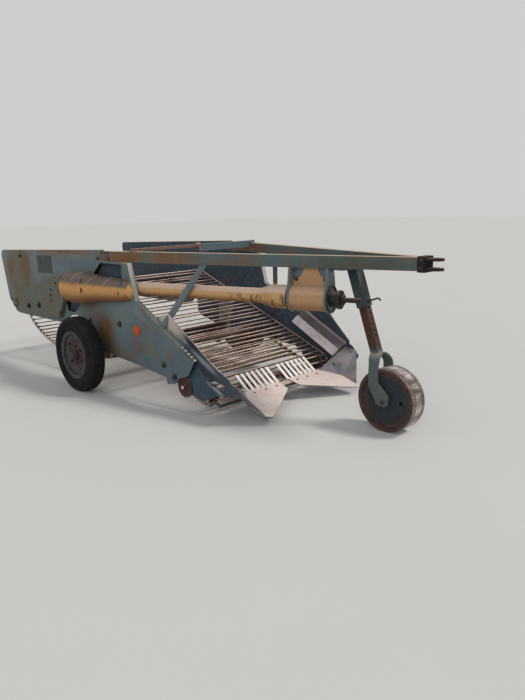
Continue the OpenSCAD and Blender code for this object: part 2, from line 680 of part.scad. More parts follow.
module lock_bore() post_frame() translate([0, 0, lock_s]) rotate([0, 90, 0])
  cylinder(h = 200, r = lock_r + 0.3, center = true);
inner_top = sleeve_from + 190;
hole_step = 40;
fork_y = depth_w / 2 + 8;
fork_t = 10;
hub_r = 16;
post_wall = 6;
fork_bow = 110;
bow_c = [fork_y + fork_t - fork_bow, post_z - 90];
fork_in = fork_bow - fork_t;
fork_run = [for (a = [0:6:78]) bow_c + fork_bow * [cos(a), sin(a)]];
fork_back = [for (a = [78:-6:0]) bow_c + fork_in * [cos(a), sin(a)]];
fork_pts = rounded([
  [post_x - 40, post_z + 40, 10], [post_x + 50, post_z + 40, 16], [post_x + 74, post_z - 50, 40],
  [post_x + 76, wheel_z + 120, 40], [depth_x + 42, wheel_z + 40, 30], [depth_x + 34, wheel_z - 36, 30],
  [depth_x - 50, wheel_z - 32, 30], [post_x, wheel_z + 90, 60], [post_x - 2, post_z - 60, 40]]);
module inner_post() color("sienna") {
  difference() {
    post_frame() translate([-post_side / 2, -post_side / 2, 0]) difference() {
      cube([post_side, post_side, inner_top]);
      translate([post_wall, post_wall, -1])
        cube([post_side - 2 * post_wall, post_side - 2 * post_wall, inner_top + 2]);
    }
    for (i = [-6:3]) post_frame() translate([0, 0, lock_s + i * hole_step]) rotate([0, 90, 0])
      cylinder(h = 200, r = lock_r + 0.3, center = true, $fn = 24);
  }
  intersection() {
    plate(2 * fork_y, 4 * fork_y) polygon(fork_pts);
    translate([post_x - depth_d, 0, 0]) rotate([90, 0, 90]) linear_extrude(2 * depth_d) polygon(concat(
      [[fork_y + fork_t, 0]], fork_run, [for (i = [len(fork_run) - 1:-1:0]) [-fork_run[i].x, fork_run[i].y]],
      [[-fork_y - fork_t, 0], [-fork_y, 0]],
      [for (i = [len(fork_back) - 1:-1:0]) [-fork_back[i].x, fork_back[i].y]], fork_back, [[fork_y, 0]]));
  }
  translate([depth_x, 0, wheel_z]) rotate([90, 0, 0])
    cylinder(h = 2 * (fork_y + fork_t + 12), r = hub_r, center = true);
}
lock_out = 14;
handle_r = 6;
handle_len = 64;
handle_bend = 22;
module lock_pin() color("dimgray") post_frame() translate([post_side / 2 + post_fit, 0, lock_s])
  rotate([0, 90, 0]) {
    out = (sleeve_side - post_side) / 2 - post_fit + lock_out;
    cylinder(h = out, r = lock_r);
    translate([0, 0, out - 10]) cylinder(h = 10, r = 14);
    translate([0, 0, out - 1]) cylinder(h = handle_len, r = handle_r);
    translate([handle_bend, 0, out - 1 + handle_len]) rotate([90, 0, 0]) rotate([0, 0, 90])
      rotate_extrude(angle = 90) translate([handle_bend, 0]) circle(r = handle_r);
  }

// Steel wheel with sunk side discs and a ridge beside its tread
disc_in = depth_w / 2 - 22;
disc_t = 6;
rim_in = depth_d / 2 - 26;
filler_r = 12;
module depth_wheel() color("silver") translate([depth_x, 0, wheel_z]) rotate([90, 0, 0]) difference() {
  rotate_extrude($fn = 64) polygon([
    [hub_r + run_fit, 1 - fork_y], [34, 1 - fork_y], [34, -disc_in],
    [rim_in - 8, -disc_in], [rim_in, -depth_w / 2],
    [depth_d / 2 - 4, -depth_w / 2], [depth_d / 2, 6 - depth_w / 2],
    [depth_d / 2, depth_w / 2 - 6], [depth_d / 2 - 4, depth_w / 2],
    [rim_in, depth_w / 2], [rim_in - 8, disc_in],
    [34, disc_in], [34, fork_y - 1], [hub_r + run_fit, fork_y - 1]]);
  rotate_extrude($fn = 64) polygon([
    [34, disc_t - disc_in], [rim_in - 8, disc_t - disc_in], [depth_d / 2 - disc_t, 14 - depth_w / 2],
    [depth_d / 2 - disc_t, depth_w / 2 - 14], [rim_in - 8, disc_in - disc_t], [34, disc_in - disc_t]]);
  translate([(rim_in + 34) / 2, 0, 0]) cylinder(h = depth_w, r = filler_r, $fn = 24);
}

reflector_at = [598, 568];
module reflector() color("orangered") translate([reflector_at.x, panel_y + touch, reflector_at.y])
  rotate([-90, 0, 0]) {
    cylinder(h = 6, r = 42);
    cylinder(h = 12, r = 34);
  }

place() on_side(false) panel(true);  // panel_right
place() on_side(true) panel(false);  // panel_left
place() on_side(false) wall(true);  // wall_right
place() on_side(true) wall(false);  // wall_left
place() on_side(false) nose();  // nose_right
place() on_side(true) nose();  // nose_left
place() on_side(false) deflector();  // deflector_right
place() on_side(true) deflector();  // deflector_left
place() on_side(false) share();  // share_right
place() on_side(true) share();  // share_left
place() share_beam();
place() on_side(false) fingers();  // fingers_right
place() on_side(true) fingers();  // fingers_left
place() on_side(false) beam();  // beam_right
place() on_side(true) beam();  // beam_left
place() hitch_head();
place() on_side(false) strut();  // strut_right
place() on_side(true) strut();  // strut_left
place() cross_bar();
place() rear_tie();
place() axle_tube();
place() on_side(false) axle_arm();  // axle_arm_right
place() on_side(true) axle_arm();  // axle_arm_left
place() on_side(false) tyre();  // tyre_right
place() on_side(true) tyre();  // tyre_left
place() on_side(false) rim();  // rim_right
place() on_side(true) rim();  // rim_left
place() web();
place() drive_roller();
place() front_roller();
place() support_rollers();
place() on_side(false) idler();  // idler_right
place() on_side(true) idler();  // idler_left
place() on_side(false) gear_housing();
place() on_side(false) chain_case();
place() on_side(false) guard_tube();
place() on_side(false) guard_drum();
place() on_side(false) hangers();
place() on_side(false) input_shaft();
place() post_sleeve();
place() inner_post();
place() lock_pin();
place() depth_wheel();
place() on_side(false) reflector();  // reflector_right
place() on_side(true) reflector();  // reflector_left
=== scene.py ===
# %% [markdown]
# A towed potato harvester stands on a studio floor. Its solid model comes ready-made as the frame, forty-five
# named nodes that are never moved. This lesson finishes every surface with a material made of nodes, and adds
# the small things that a solid model leaves out, such as tyre tread, bolts and weld beads.

# %% Load the frame
import math

import bmesh
import bpy
from mathutils import Matrix, Vector


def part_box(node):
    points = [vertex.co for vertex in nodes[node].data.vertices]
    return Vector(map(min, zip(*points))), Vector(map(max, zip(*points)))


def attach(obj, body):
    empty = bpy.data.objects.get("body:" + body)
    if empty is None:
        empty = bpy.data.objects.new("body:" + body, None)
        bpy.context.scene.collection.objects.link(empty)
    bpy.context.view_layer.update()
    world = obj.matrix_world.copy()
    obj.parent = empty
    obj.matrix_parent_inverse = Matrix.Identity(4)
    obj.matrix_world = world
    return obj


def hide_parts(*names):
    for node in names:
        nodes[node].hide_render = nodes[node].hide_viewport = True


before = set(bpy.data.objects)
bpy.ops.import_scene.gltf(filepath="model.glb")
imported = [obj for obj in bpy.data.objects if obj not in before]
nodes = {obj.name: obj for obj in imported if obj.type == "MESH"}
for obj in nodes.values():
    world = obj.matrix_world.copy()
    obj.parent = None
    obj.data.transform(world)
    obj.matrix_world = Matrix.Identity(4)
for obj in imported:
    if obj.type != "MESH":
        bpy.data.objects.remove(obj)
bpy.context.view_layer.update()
scene = bpy.context.scene
show = scene.collection.objects.link
sides = (("right", -1), ("left", 1))

# %% [markdown]
# The camera repeats the place from which the photograph was taken: ahead of the machine, to its right, a
# little above the drawbar. A heading, a pitch and the slight roll of a hand-held shot aim it.

# %% Camera
camera_place = Vector((4.263, -3.399, 1.509))
heading, pitch, roll = (math.radians(a) for a in (45.53, 13.16, -1.32))
level = math.cos(pitch)
look = Vector((-math.sin(heading) * level, math.cos(heading) * level, -math.sin(pitch)))
level_right = Vector((math.cos(heading), math.sin(heading), 0))
level_up = level_right.cross(look)
right = math.cos(roll) * level_right + math.sin(roll) * level_up
up = -math.sin(roll) * level_right + math.cos(roll) * level_up
camera = bpy.data.objects.new("camera", bpy.data.cameras.new("camera"))
camera.data.sensor_width = 36
camera.data.lens = 31.43
turned = Matrix((right, up, -look)).transposed().to_4x4()
camera.matrix_world = Matrix.Translation(camera_place) @ turned
show(camera)
scene.camera = camera
print("camera", [round(v, 3) for v in camera.location], "lens", camera.data.lens)

# %% [markdown]
# Shader maths is easier to read as arithmetic. Channel wraps one output of a node, and Python's own operators
# add the Math nodes behind it. Nodes wraps a tree, of a material or of the world: it makes nodes and feeds
# their sockets.


# %% Channels and nodes
def operator(operation, swapped=False):
    """A method that adds one Math node; swapped makes the reflected form."""

    def method(self, other=0.0):
        pair = (other, self) if swapped else (self, other)
        return self.math(operation, *pair)

    return method


class Channel:
    """One output of a shader node; operators on it add Math nodes."""

    def __init__(self, tree, output):
        self.tree, self.output = tree, output

    def math(self, operation, a, b, clamp=False):
        return self.tree.node("ShaderNodeMath", {0: a, 1: b}, operation=operation, use_clamp=clamp)

    __add__ = __radd__ = operator("ADD")
    __sub__, __rsub__ = operator("SUBTRACT"), operator("SUBTRACT", swapped=True)
    __mul__ = __rmul__ = operator("MULTIPLY")
    __truediv__, __rtruediv__ = operator("DIVIDE"), operator("DIVIDE", swapped=True)
    __pow__, __rpow__ = operator("POWER"), operator("POWER", swapped=True)
    __abs__, most = operator("ABSOLUTE"), operator("MAXIMUM")

    def clamped(self):
        return self.math("ADD", self, 0.0, clamp=True)

    def between(self, low, high):
        """0 below low, 1 above high, smooth between; low may be above high to turn it round."""
        ends = {0: self, 1: low, 2: high, 3: 0.0, 4: 1.0}
        return self.tree.node("ShaderNodeMapRange", ends, interpolation_type="SMOOTHSTEP")


class Nodes:
    """A tree of shader nodes."""

    def __init__(self, tree):
        self.tree = tree

    def node(self, kind, values=None, out=0, **settings):
        made = self.tree.nodes.new(kind)
        for key, value in settings.items():
            setattr(made, key, value)
        for key, value in (values or {}).items():
            self.feed(made.inputs[key], value)
        return Channel(self, made.outputs[out])

    def feed(self, socket, value):
        if isinstance(value, Channel):
            self.tree.links.new(value.output, socket)
        elif socket.type == "RGBA" and len(value) == 3:
            socket.default_value = (*value, 1.0)
        else:
            socket.default_value = value

    def mix(self, mask, a, b):
        """Blends two colours by a mask; a plain triple is a tone as seen on a screen."""
        a, b = (tone(*colour) if isinstance(colour, tuple) else colour for colour in (a, b))
        return self.node("ShaderNodeMix", {0: mask, 6: a, 7: b}, out=2, data_type="RGBA")


def tone(*levels):
    """A colour as it looks on a screen, 0 to 255, turned into the linear values that a shader takes."""
    parts = [level / 255 for level in levels]
    return tuple(c / 12.92 if c <= 0.04 else ((c + 0.055) / 1.055) ** 2.4 for c in parts)


print("mid grey, 128 on a screen, is", round(tone(128, 128, 128)[0], 3), "for a shader")

# %% [markdown]
# Finish is a material with the patterns that worn paint, rust and dust need: noise, a mask by place, and the
# way a surface faces. Positions are the frame's own metres, because every node's object sits at the origin,
# so a rust patch can be put where the real machine has it.


# %% Finish
class Finish(Nodes):
    """A material made of nodes around the Principled shader."""

    def __init__(self, name, **plain):
        self.material = bpy.data.materials.new(name)
        self.material.use_nodes = True
        super().__init__(self.material.node_tree)
        self.shader = self.tree.nodes["Principled BSDF"]
        self.place = self.node("ShaderNodeTexCoord", out="Object")
        self.set(**plain)

    def set(self, **sockets):
        for name, value in sockets.items():
            self.feed(self.shader.inputs[name.replace("_", " ")], value)

    def axis(self, name):
        return self.node("ShaderNodeSeparateXYZ", {0: self.place}, out="XYZ".index(name))

    def noise(self, scale, detail=4.0, rough=0.55, stretch=(1.0, 1.0, 1.0), distort=0.0):
        spot = self.node("ShaderNodeVectorMath", {0: self.place, 1: stretch}, operation="MULTIPLY")
        values = {"Vector": spot, "Scale": scale, "Detail": detail, "Roughness": rough, "Distortion": distort}
        return self.node("ShaderNodeTexNoise", values, out="Fac")

    def cells(self, scale):
        return self.node("ShaderNodeTexVoronoi", {"Vector": self.place, "Scale": scale}, out="Distance")

    def facing(self, axis):
        """The surface's own direction along one axis: 1 where it faces that way, -1 where it faces back."""
        normal = self.node("ShaderNodeNewGeometry", out="Normal")
        return self.node("ShaderNodeSeparateXYZ", {0: normal}, out="XYZ".index(axis))

    def patch(self, x, z, half_x, half_z, lean, ragged, soft, shift=0.0):
        """An oval mask in the side view, leaning by degrees, its edge broken by the ragged channel."""
        dx, dz = self.axis("X") - x + shift, self.axis("Z") - z
        c, s = math.cos(math.radians(lean)), math.sin(math.radians(lean))
        along, over = (dx * c + dz * s) / half_x, (dz * c - dx * s) / half_z
        return ((along * along + over * over) ** 0.5 + ragged).between(1.2, 1.2 - soft)

    def distance_from(self, x, z):
        """Distance in the side view from the axle at x, z."""
        dx, dz = self.axis("X") - x, self.axis("Z") - z
        return (dx * dx + dz * dz) ** 0.5

    def bump(self, height, strength=0.3, distance=0.0015):
        values = {"Height": height, "Strength": strength, "Distance": distance}
        self.set(Normal=self.node("ShaderNodeBump", values, out="Normal"))


print("Finish knows", *(name for name in vars(Finish) if name[0] != "_"))

# %% [markdown]
# The blue paint has faded for decades in the open. On the real machine it is grey-teal on flat sides, a
# deeper blue in broad patches and towards the bottom, where that deeper tone is also painted shade, brown in
# tall streaks where rust shows through, and tan with dust on every ledge. Its forward faces are paled as a
# painted highlight. One function makes it, with rust and dust as its dials, so that each group of sheets has
# its own age.

# %% Faded blue paint
rust_brown, rust_dark, rust_thin = (122, 80, 52), (74, 48, 40), (98, 82, 58)
dust_tan, bloom_grey, front_highlight_pale = (184, 166, 146), (118, 122, 112), (196, 192, 184)


def faded_paint(name, pale, deep, rust=0.5, dust=0.9, streak=0.5, placed=(), tinted=(), front=0.0,
                ledge_from=0.9):
    """Placed rows are x, z, half-length, half-height, lean and strength of rust; tinted rows end in a tone.

    Front is how much the forward faces are paled as a painted highlight; faces flatter than ledge_from gather
    dust, and a low ledge_from also lays that pale tone on steeper edges as a painted highlight."""
    finish = Finish(name, Specular_IOR_Level=0.25)
    cloud = finish.noise(1.7, 3, 0.5).between(0.38, 0.66)
    mottle = finish.noise(26, 5, 0.65)
    # Towards the bottom the paint turns to the deeper tone, bluer and also darker as painted shade.
    lower = finish.axis("Z").between(0.75, 0.2)
    colour = finish.mix((0.65 * cloud + 0.5 * lower).clamped(), pale, deep)
    colour = finish.mix(mottle.between(0.42, 0.75) * 0.3, colour, bloom_grey)
    drips = finish.noise(13, 6, 0.7, stretch=(1.0, 1.0, 0.14))
    patches = finish.noise(3.1, 6, 0.62, distort=0.4)
    rusty = (patches.between(0.56 - 0.1 * rust, 0.7) * 0.75
             + drips.between(0.5, 0.78) * streak * patches.between(0.42, 0.62)) * rust
    ragged = 1.5 * (finish.noise(5.5, 6, 0.7, stretch=(1.0, 1.0, 0.55)) - 0.5) + 1.3 * (drips - 0.5)
    far_shift = finish.axis("Y").between(0.0, 0.01) * 0.27
    for x, z, half_x, half_z, lean, strength in placed:
        mask = finish.patch(x, z, half_x, half_z, lean, ragged, 0.9, far_shift)
        rusty = rusty.most(mask * strength * (0.45 + drips.between(0.3, 0.62)).clamped())
    rust_here = finish.mix(drips.between(0.42, 0.62), rust_brown, rust_thin)
    colour = finish.mix(rusty.clamped(), colour, rust_here)
    for x, z, half_x, half_z, lean, strength, tint in tinted:
        mask = finish.patch(x, z, half_x, half_z, lean, 0.8 * ragged, 0.85)
        colour = finish.mix(mask * strength, colour, tint)
    chips = finish.noise(70, 3, 0.7).between(0.66, 0.73) * patches.between(0.4, 0.6)
    colour = finish.mix(chips * 0.8, colour, rust_dark)
    ledge = finish.facing("Z").between(ledge_from, ledge_from + 0.08)
    dusty = ledge * (dust - 0.35 * mottle) + finish.facing("Z").between(0.4, 0.9) * 0.25
    colour = finish.mix(dusty.clamped(), colour, dust_tan)
    # Forward faces are paled: a painted highlight where the front edges catch the light.
    front_highlight = finish.facing("X").between(0.86, 0.95) * (0.95 - 0.5 * mottle)
    colour = finish.mix(front_highlight * front, colour, front_highlight_pale)
    finish.set(Base_Color=colour, Roughness=0.55 + 0.25 * mottle + 0.15 * ledge)
    finish.bump(mottle + 1.4 * rusty * finish.noise(55, 4), 0.35)
    return finish.material


print("rust", rust_brown, rust_dark, rust_thin, "dust", dust_tan)

# %% [markdown]
# Noise alone makes any old machine. What makes it this one is where its marks are: rust at the panel's rear
# corner, behind the wheel and along the top edge, a stain under the reflector, a paler band along the sloping
# ledge that is painted light, a thin painted shadow at the ledge by the nose, and painted light and shade on
# the nose plate.
# Each mark is one row. The left side repeats the rust a little further back, so that the two sides aren't
# twins.

# %% Marks by place
# Columns: x, z, half-length and half-height in metres, lean in degrees, strength, and for tints the tone.
panel_rust = [(-2.16, 0.92, 0.17, 0.28, 0, 0.95), (-1.84, 0.95, 0.2, 0.3, 0, 1.0),
              (-2.02, 0.7, 0.24, 0.12, -20, 0.7), (-1.05, 1.16, 0.65, 0.035, 0, 0.8),
              (-0.34, 0.52, 0.15, 0.17, 0, 1.0), (-0.25, 0.36, 0.28, 0.07, -20, 0.65),
              (-0.62, 0.47, 0.07, 0.13, 0, 0.7), (0.15, 0.44, 0.11, 0.09, 0, 0.65),
              (-0.05, 1.13, 0.16, 0.04, 0, 0.8), (-0.62, 0.7, 0.24, 0.06, 0, 0.6),
              (0.55, 0.42, 0.05, 0.06, 0, 0.6), (-1.3, 1.12, 0.3, 0.05, 0, 0.5),
              (0.02, 0.33, 0.16, 0.05, -15, 0.6), (-0.45, 0.62, 0.3, 0.05, 0, 0.45)]
panel_tints = [(-1.98, 0.86, 0.34, 0.34, 0, 0.55, (92, 86, 68)),
               (0.32, 0.44, 0.12, 0.04, -52, 0.6, (112, 98, 60)),
               (-0.53, 0.51, 0.02, 0.025, 0, 0.8, (128, 112, 62)),
               (-0.2, 0.4, 0.24, 0.05, -25, 0.5, (104, 98, 68)),
               (-0.1, 0.93, 0.03, 0.16, 8, 0.55, (140, 146, 146)),
               # A paler band along the sloping ledge: painted light, where the band catches the light.
               (0.2, 0.7, 0.16, 0.05, -28, 0.5, (118, 128, 130)),
               (-0.17, 0.23, 0.3, 0.08, 15, 0.5, (60, 78, 92)),
               (-0.9, 1.06, 0.45, 0.06, 0, 0.5, (84, 100, 110)),
               # A thin dark line along the ledge by the nose: painted shadow.
               (0.77, 0.472, 0.11, 0.014, -28, 0.9, (38, 38, 42)),
               (0.02, 0.78, 0.22, 0.08, 0, 0.4, (108, 116, 112))]
beam_rust = [(-0.05, 1.14, 0.34, 0.09, 0, 1.0), (0.42, 1.14, 0.3, 0.07, 0, 0.85),
             (0.95, 1.12, 0.22, 0.04, 0, 0.5), (1.9, 1.13, 0.3, 0.03, 0, 0.35)]
beam_tints = [(1.9, 1.13, 0.55, 0.09, 0, 0.55, (62, 68, 58)),
              (1.32, 1.15, 0.22, 0.04, 0, 0.5, (76, 100, 104)),
              (0.62, 1.15, 0.12, 0.03, 0, 0.4, (84, 92, 82))]
# On the nose most of these rows are painted light and shade: pale patches and stripes where the plate catches
# the light, and dark bands of painted shade.
nose_light_and_shade_tints = [(0.49, 0.69, 0.26, 0.085, -28, 0.95, (186, 174, 166)),
              (0.69, 0.57, 0.08, 0.035, -28, 0.5, (140, 134, 132)),
              (0.79, 0.535, 0.13, 0.026, -28, 0.95, (34, 36, 42)),
              (0.95, 0.345, 0.16, 0.045, -27, 0.85, (38, 40, 46)),
              (0.9, 0.43, 0.17, 0.024, -27, 0.8, (134, 136, 144)),
              (1.03, 0.245, 0.1, 0.016, -22, 0.8, (140, 142, 150)),
              (0.76, 0.23, 0.09, 0.07, 0, 0.6, (52, 84, 104)),
              (1.1, 0.31, 0.07, 0.05, -20, 0.6, (48, 58, 70))]
case_rust = [(-1.9, 0.66, 0.2, 0.1, 10, 0.45), (-1.2, 0.7, 0.06, 0.14, 0, 0.4)]
print("placed rust patches", len(panel_rust), "on the panels,", len(beam_rust), "on the beams")

# %% Blue sheets
panel_blue = faded_paint("panel_blue", (106, 118, 117), (80, 97, 106), rust=0.55, streak=0.9,
                         placed=panel_rust, tinted=panel_tints, front=0.8)
beam_blue = faded_paint("beam_blue", (88, 100, 97), (72, 88, 92), rust=0.55, placed=beam_rust,
                        tinted=beam_tints)
wall_blue = faded_paint("wall_blue", (56, 70, 82), (40, 54, 68), rust=0.35, dust=0.6, front=0.7)
case_blue = faded_paint("case_blue", (91, 98, 87), (90, 83, 71), rust=0.4, placed=case_rust)
# On the nose, dust reaches steeper faces, so that the plate's thin upper edge shows a pale line, partly dust
# and partly painted highlight.
nose_blue = faded_paint("nose_blue", (68, 81, 94), (51, 67, 81), rust=0.3, tinted=nose_light_and_shade_tints, ledge_from=0.7)
sleeve_blue = faded_paint("sleeve_blue", (62, 74, 76), (50, 60, 64), rust=0.4)
strut_blue = faded_paint("strut_blue", (94, 108, 112), (74, 90, 96), rust=0.35, front=0.25)
patch_dark = faded_paint("patch_dark", (62, 68, 70), (52, 58, 60), rust=0.15, dust=0.2)
print("paints", [m.name for m in bpy.data.materials])

# %% [markdown]
# The drive guards carry an older tan under their dust. Their upper side is bleached on the tube and brown on
# the big housing, so the mask is how far the surface faces up, broken by noise. Faces that turn down take a
# darker tone as painted shade, and the tube's pale top is partly a painted highlight. Dark rust spots gather
# low down, and rust weeps down the cone in front.


# %% Tan guards
def guard_paint(name, top, side, under, top_from=0.25, spots=0.7, weep=0.0, post_from=None):
    """Weep is rust that runs down the front cone; above post_from begins the thin grey stay to the beam."""
    finish = Finish(name, Specular_IOR_Level=0.3)
    grain = finish.noise(38, 5, 0.6)
    lift = finish.facing("Z") + 0.35 * (finish.noise(7, 4) - 0.5)
    # Downward faces take the darker under tone: painted shade.
    colour = finish.mix(lift.between(-0.75, 0.0), under, side)
    colour = finish.mix(lift.between(top_from, top_from + 0.35), colour, top)
    colour = finish.mix(grain.between(0.5, 0.8) * 0.4, colour, (128, 94, 68))
    pits = finish.cells(34).between(0.16, 0.05) * finish.noise(5, 3).between(0.5, 0.62)
    colour = finish.mix(pits * spots, colour, rust_dark)
    drips = finish.noise(26, 6, 0.72, stretch=(1.0, 1.0, 0.35)).between(0.47, 0.58)
    worn = finish.axis("X").between(0.85, 1.05) * lift.between(0.5, 0.0) * drips
    colour = finish.mix(worn * weep, colour, (100, 70, 44))
    if post_from:
        on_stay = finish.axis("Z").between(post_from, post_from + 0.004)
        colour = finish.mix(on_stay, colour, (66, 68, 68))
    finish.set(Base_Color=colour, Roughness=0.6 + 0.25 * grain)
    finish.bump(grain - pits)
    return finish.material


# On the tube the pale top is partly bleached paint and partly a painted highlight.
tube_tan = guard_paint("tube_tan", (204, 178, 158), (188, 150, 104), (146, 108, 66), weep=0.9,
                       post_from=0.985)
drum_tan = guard_paint("drum_tan", (186, 152, 122), (172, 134, 98), (146, 110, 78))
housing_tan = guard_paint("housing_tan", (98, 86, 82), (188, 141, 88), (126, 88, 54), top_from=0.2)
rib_tan = guard_paint("rib_tan", (166, 136, 108), (176, 134, 86), (120, 86, 56), spots=0.3)
print("guards", tube_tan.name, drum_tan.name, housing_tan.name)

# %% [markdown]
# Soil polishes steel. The shares, the fingers and the deflectors are bright where the ridge slides over them
# and dull where it doesn't. Long scratches follow the travel along X, so the noise is stretched that way and
# drives colour and roughness together.


# %% Soil-polished steel
def polished(name, bright, dull, stain, stain_low=0.58, shade=None):
    """Shade gives a mask and the darker tone that it lays on faces turned from the light, as painted shade.
    """
    finish = Finish(name, Metallic=0.25)
    scratch = finish.noise(40, 4, 0.6, stretch=(0.08, 1.0, 1.0))
    cloud = finish.noise(6, 4, 0.55).between(0.35, 0.68)
    colour = finish.mix(cloud, bright, dull)
    colour = finish.mix(scratch.between(0.5, 0.7) * 0.3, colour, (150, 142, 138))
    stained = finish.noise(11, 5, 0.65).between(stain_low, 0.8)
    colour = finish.mix(stained * 0.8, colour, stain)
    if shade:
        mask, tone_there = shade(finish)
        colour = finish.mix(mask * (1.0 - 0.3 * cloud), colour, tone_there)
    finish.set(Base_Color=colour, Roughness=0.34 + 0.3 * cloud + 0.2 * stained)
    finish.bump(scratch, 0.15, 0.001)
    return finish.material


# On the share the wings take a darker blue-grey, partly their own tone and partly painted shade.
share_steel = polished("share_steel", (238, 222, 214), (218, 198, 190), (164, 134, 112),
                       shade=lambda f: (f.facing("Z").between(0.93, 0.85), (92, 94, 104)))
finger_steel = polished("finger_steel", (240, 232, 226), (214, 204, 196), (150, 128, 112), stain_low=0.66)
# On the deflector the upper facet is darkened as painted shade, and the pale tone of the lower facet is
# partly a painted reflection.
deflector_steel = polished("deflector_steel", (196, 184, 184), (150, 140, 142), (104, 88, 86),
                           shade=lambda f: (abs(f.facing("Y")).between(0.66, 0.58), (74, 64, 68)))
print("steels", share_steel.name, finger_steel.name, deflector_steel.name)

# %% [markdown]
# Each web rod is polished on the side that meets the crop and brown-black on its flanks. On both runs of the
# loop that side looks up or down, so the size of the normal's Z decides, and patchy noise keeps whole rods
# from looking alike. The light side and the dark flanks are partly painted highlight and painted shade.

# %% Rod steel
rod = Finish("rod_steel", Metallic=0.2)
worn_patch = rod.noise(2.3, 5, 0.6, stretch=(1.0, 0.7, 1.0))
rod_grain = rod.noise(60, 4, 0.6, stretch=(1.0, 0.25, 1.0))
# The light top is partly a painted highlight, the dark flanks partly painted shade.
polished_lit_side = abs(rod.facing("Z")).between(0.36, 0.62)
rod_top = rod.mix(worn_patch.between(0.47, 0.62), (236, 208, 196), (136, 98, 86))
rod_top = rod.mix(rod_grain.between(0.5, 0.75) * 0.6, rod_top, (92, 62, 52))
near_shares = rod.axis("X").between(0.3, 0.55) * rod.axis("X").between(1.0, 0.75)
rod_top = rod.mix(near_shares * rod_grain.between(0.4, 0.55) * 0.7, rod_top, (196, 156, 104))
rod_flank = rod.mix(rod_grain.between(0.35, 0.7), (34, 24, 24), (74, 46, 38))
rod.set(Base_Color=rod.mix(polished_lit_side * 0.92, rod_flank, rod_top), Roughness=0.42 + 0.35 * rod_grain)
rod.bump(rod_grain, 0.25, 0.001)
rod_steel = rod.material
print("rods", rod_steel.name, "with", len(rod.tree.nodes), "nodes")

# %% [markdown]
# Plain rust and grease finish the rest: the hitch, the idlers and the fasteners are brown or dark, the driven
# shaft and the rollers are dark with old oil. A crackled fine noise gives rust its crust.


# %% Rust, grease and small finishes
def crusty(name, light, dark, wear, metal=0.0, gloss=0.0, dusty=0.45):
    finish = Finish(name, Metallic=metal, Specular_IOR_Level=0.3)
    crust = finish.noise(48, 6, 0.7)
    colour = finish.mix(finish.noise(7, 4, 0.6).between(0.38, 0.62), light, dark)
    colour = finish.mix(crust.between(0.52, 0.72) * 0.7, colour, wear)
    colour = finish.mix(finish.facing("Z").between(0.5, 0.95) * dusty, colour, (160, 138, 120))
    finish.set(Base_Color=colour, Roughness=0.78 - gloss + 0.15 * crust)
    finish.bump(crust, 0.5)
    return finish.material


brown_rust = crusty("brown_rust", (104, 70, 56), (76, 52, 44), (124, 88, 66))
hitch_rust = crusty("hitch_rust", (40, 29, 27), (29, 23, 22), (66, 50, 42), dusty=0.25)
idler_rust = crusty("idler_rust", (88, 56, 50), (66, 46, 44), (112, 78, 64))
oily_black = crusty("oily_black", (44, 38, 38), (26, 24, 24), (84, 74, 70), gloss=0.35)
arm_dust = crusty("arm_dust", (150, 138, 124), (104, 94, 86), (82, 70, 62))
roller_dark = crusty("roller_dark", (70, 56, 50), (48, 40, 38), (104, 80, 66))
bolt_dark = crusty("bolt_dark", (70, 60, 58), (48, 44, 46), (112, 92, 78), metal=0.3, gloss=0.15)
bolt_bright = crusty("bolt_bright", (214, 208, 202), (168, 160, 154), (120, 100, 88), metal=0.3,
                     gloss=0.35)
seal_black = crusty("seal_black", (34, 32, 34), (22, 21, 23), (60, 54, 52), gloss=0.25)
print("rust and grease", brown_rust.name, oily_black.name, bolt_dark.name)

# %% [markdown]
# Some pieces need a finish by place rather than by chance. The cross bar is rusty on the right and blue on
# the left half, so Y chooses. The sliding post is bare rust where it slides and blue on its fork, so Z
# chooses, and crust noise breaks the border.

# %% Cross bar and post
bar = Finish("cross_bar_finish", Roughness=0.8)
bar_crust = bar.noise(50, 5, 0.65)
bar_rust = bar.mix(bar_crust.between(0.4, 0.65), (126, 92, 80), (92, 68, 62))
bar_blue = bar.mix(bar_crust.between(0.4, 0.7), (84, 100, 108), (66, 82, 92))
bar_colour = bar.mix(bar.axis("Y").between(0.02, 0.03), bar_rust, bar_blue)
bar.set(Base_Color=bar.mix(bar.facing("Z").between(0.6, 0.95) * 0.6, bar_colour, dust_tan))
bar.bump(bar_crust, 0.4)

post = Finish("post_finish")
post_crust = post.noise(44, 6, 0.68)
bare = post.mix(post_crust.between(0.4, 0.62), (68, 36, 26), (52, 32, 27))
fork = post.mix(post_crust.between(0.42, 0.68), (78, 92, 94), (76, 70, 62))
post_colour = post.mix((post.axis("Z") + 0.05 * post_crust).between(0.6, 0.55), bare, fork)
post.set(Base_Color=post.mix(post.facing("Z").between(0.5, 0.9) * 0.4, post_colour, dust_tan),
         Roughness=0.68 + 0.2 * post_crust)
post.bump(post_crust, 0.4)
print("by place", bar.material.name, post.material.name)

# %% [markdown]
# The depth wheel is painted in its sunk discs, rusty round them and polished on the tread by the ground. All
# three are rings, so the finish works with the distance from the wheel's axle, whose place comes from the box
# of the frame's own node.

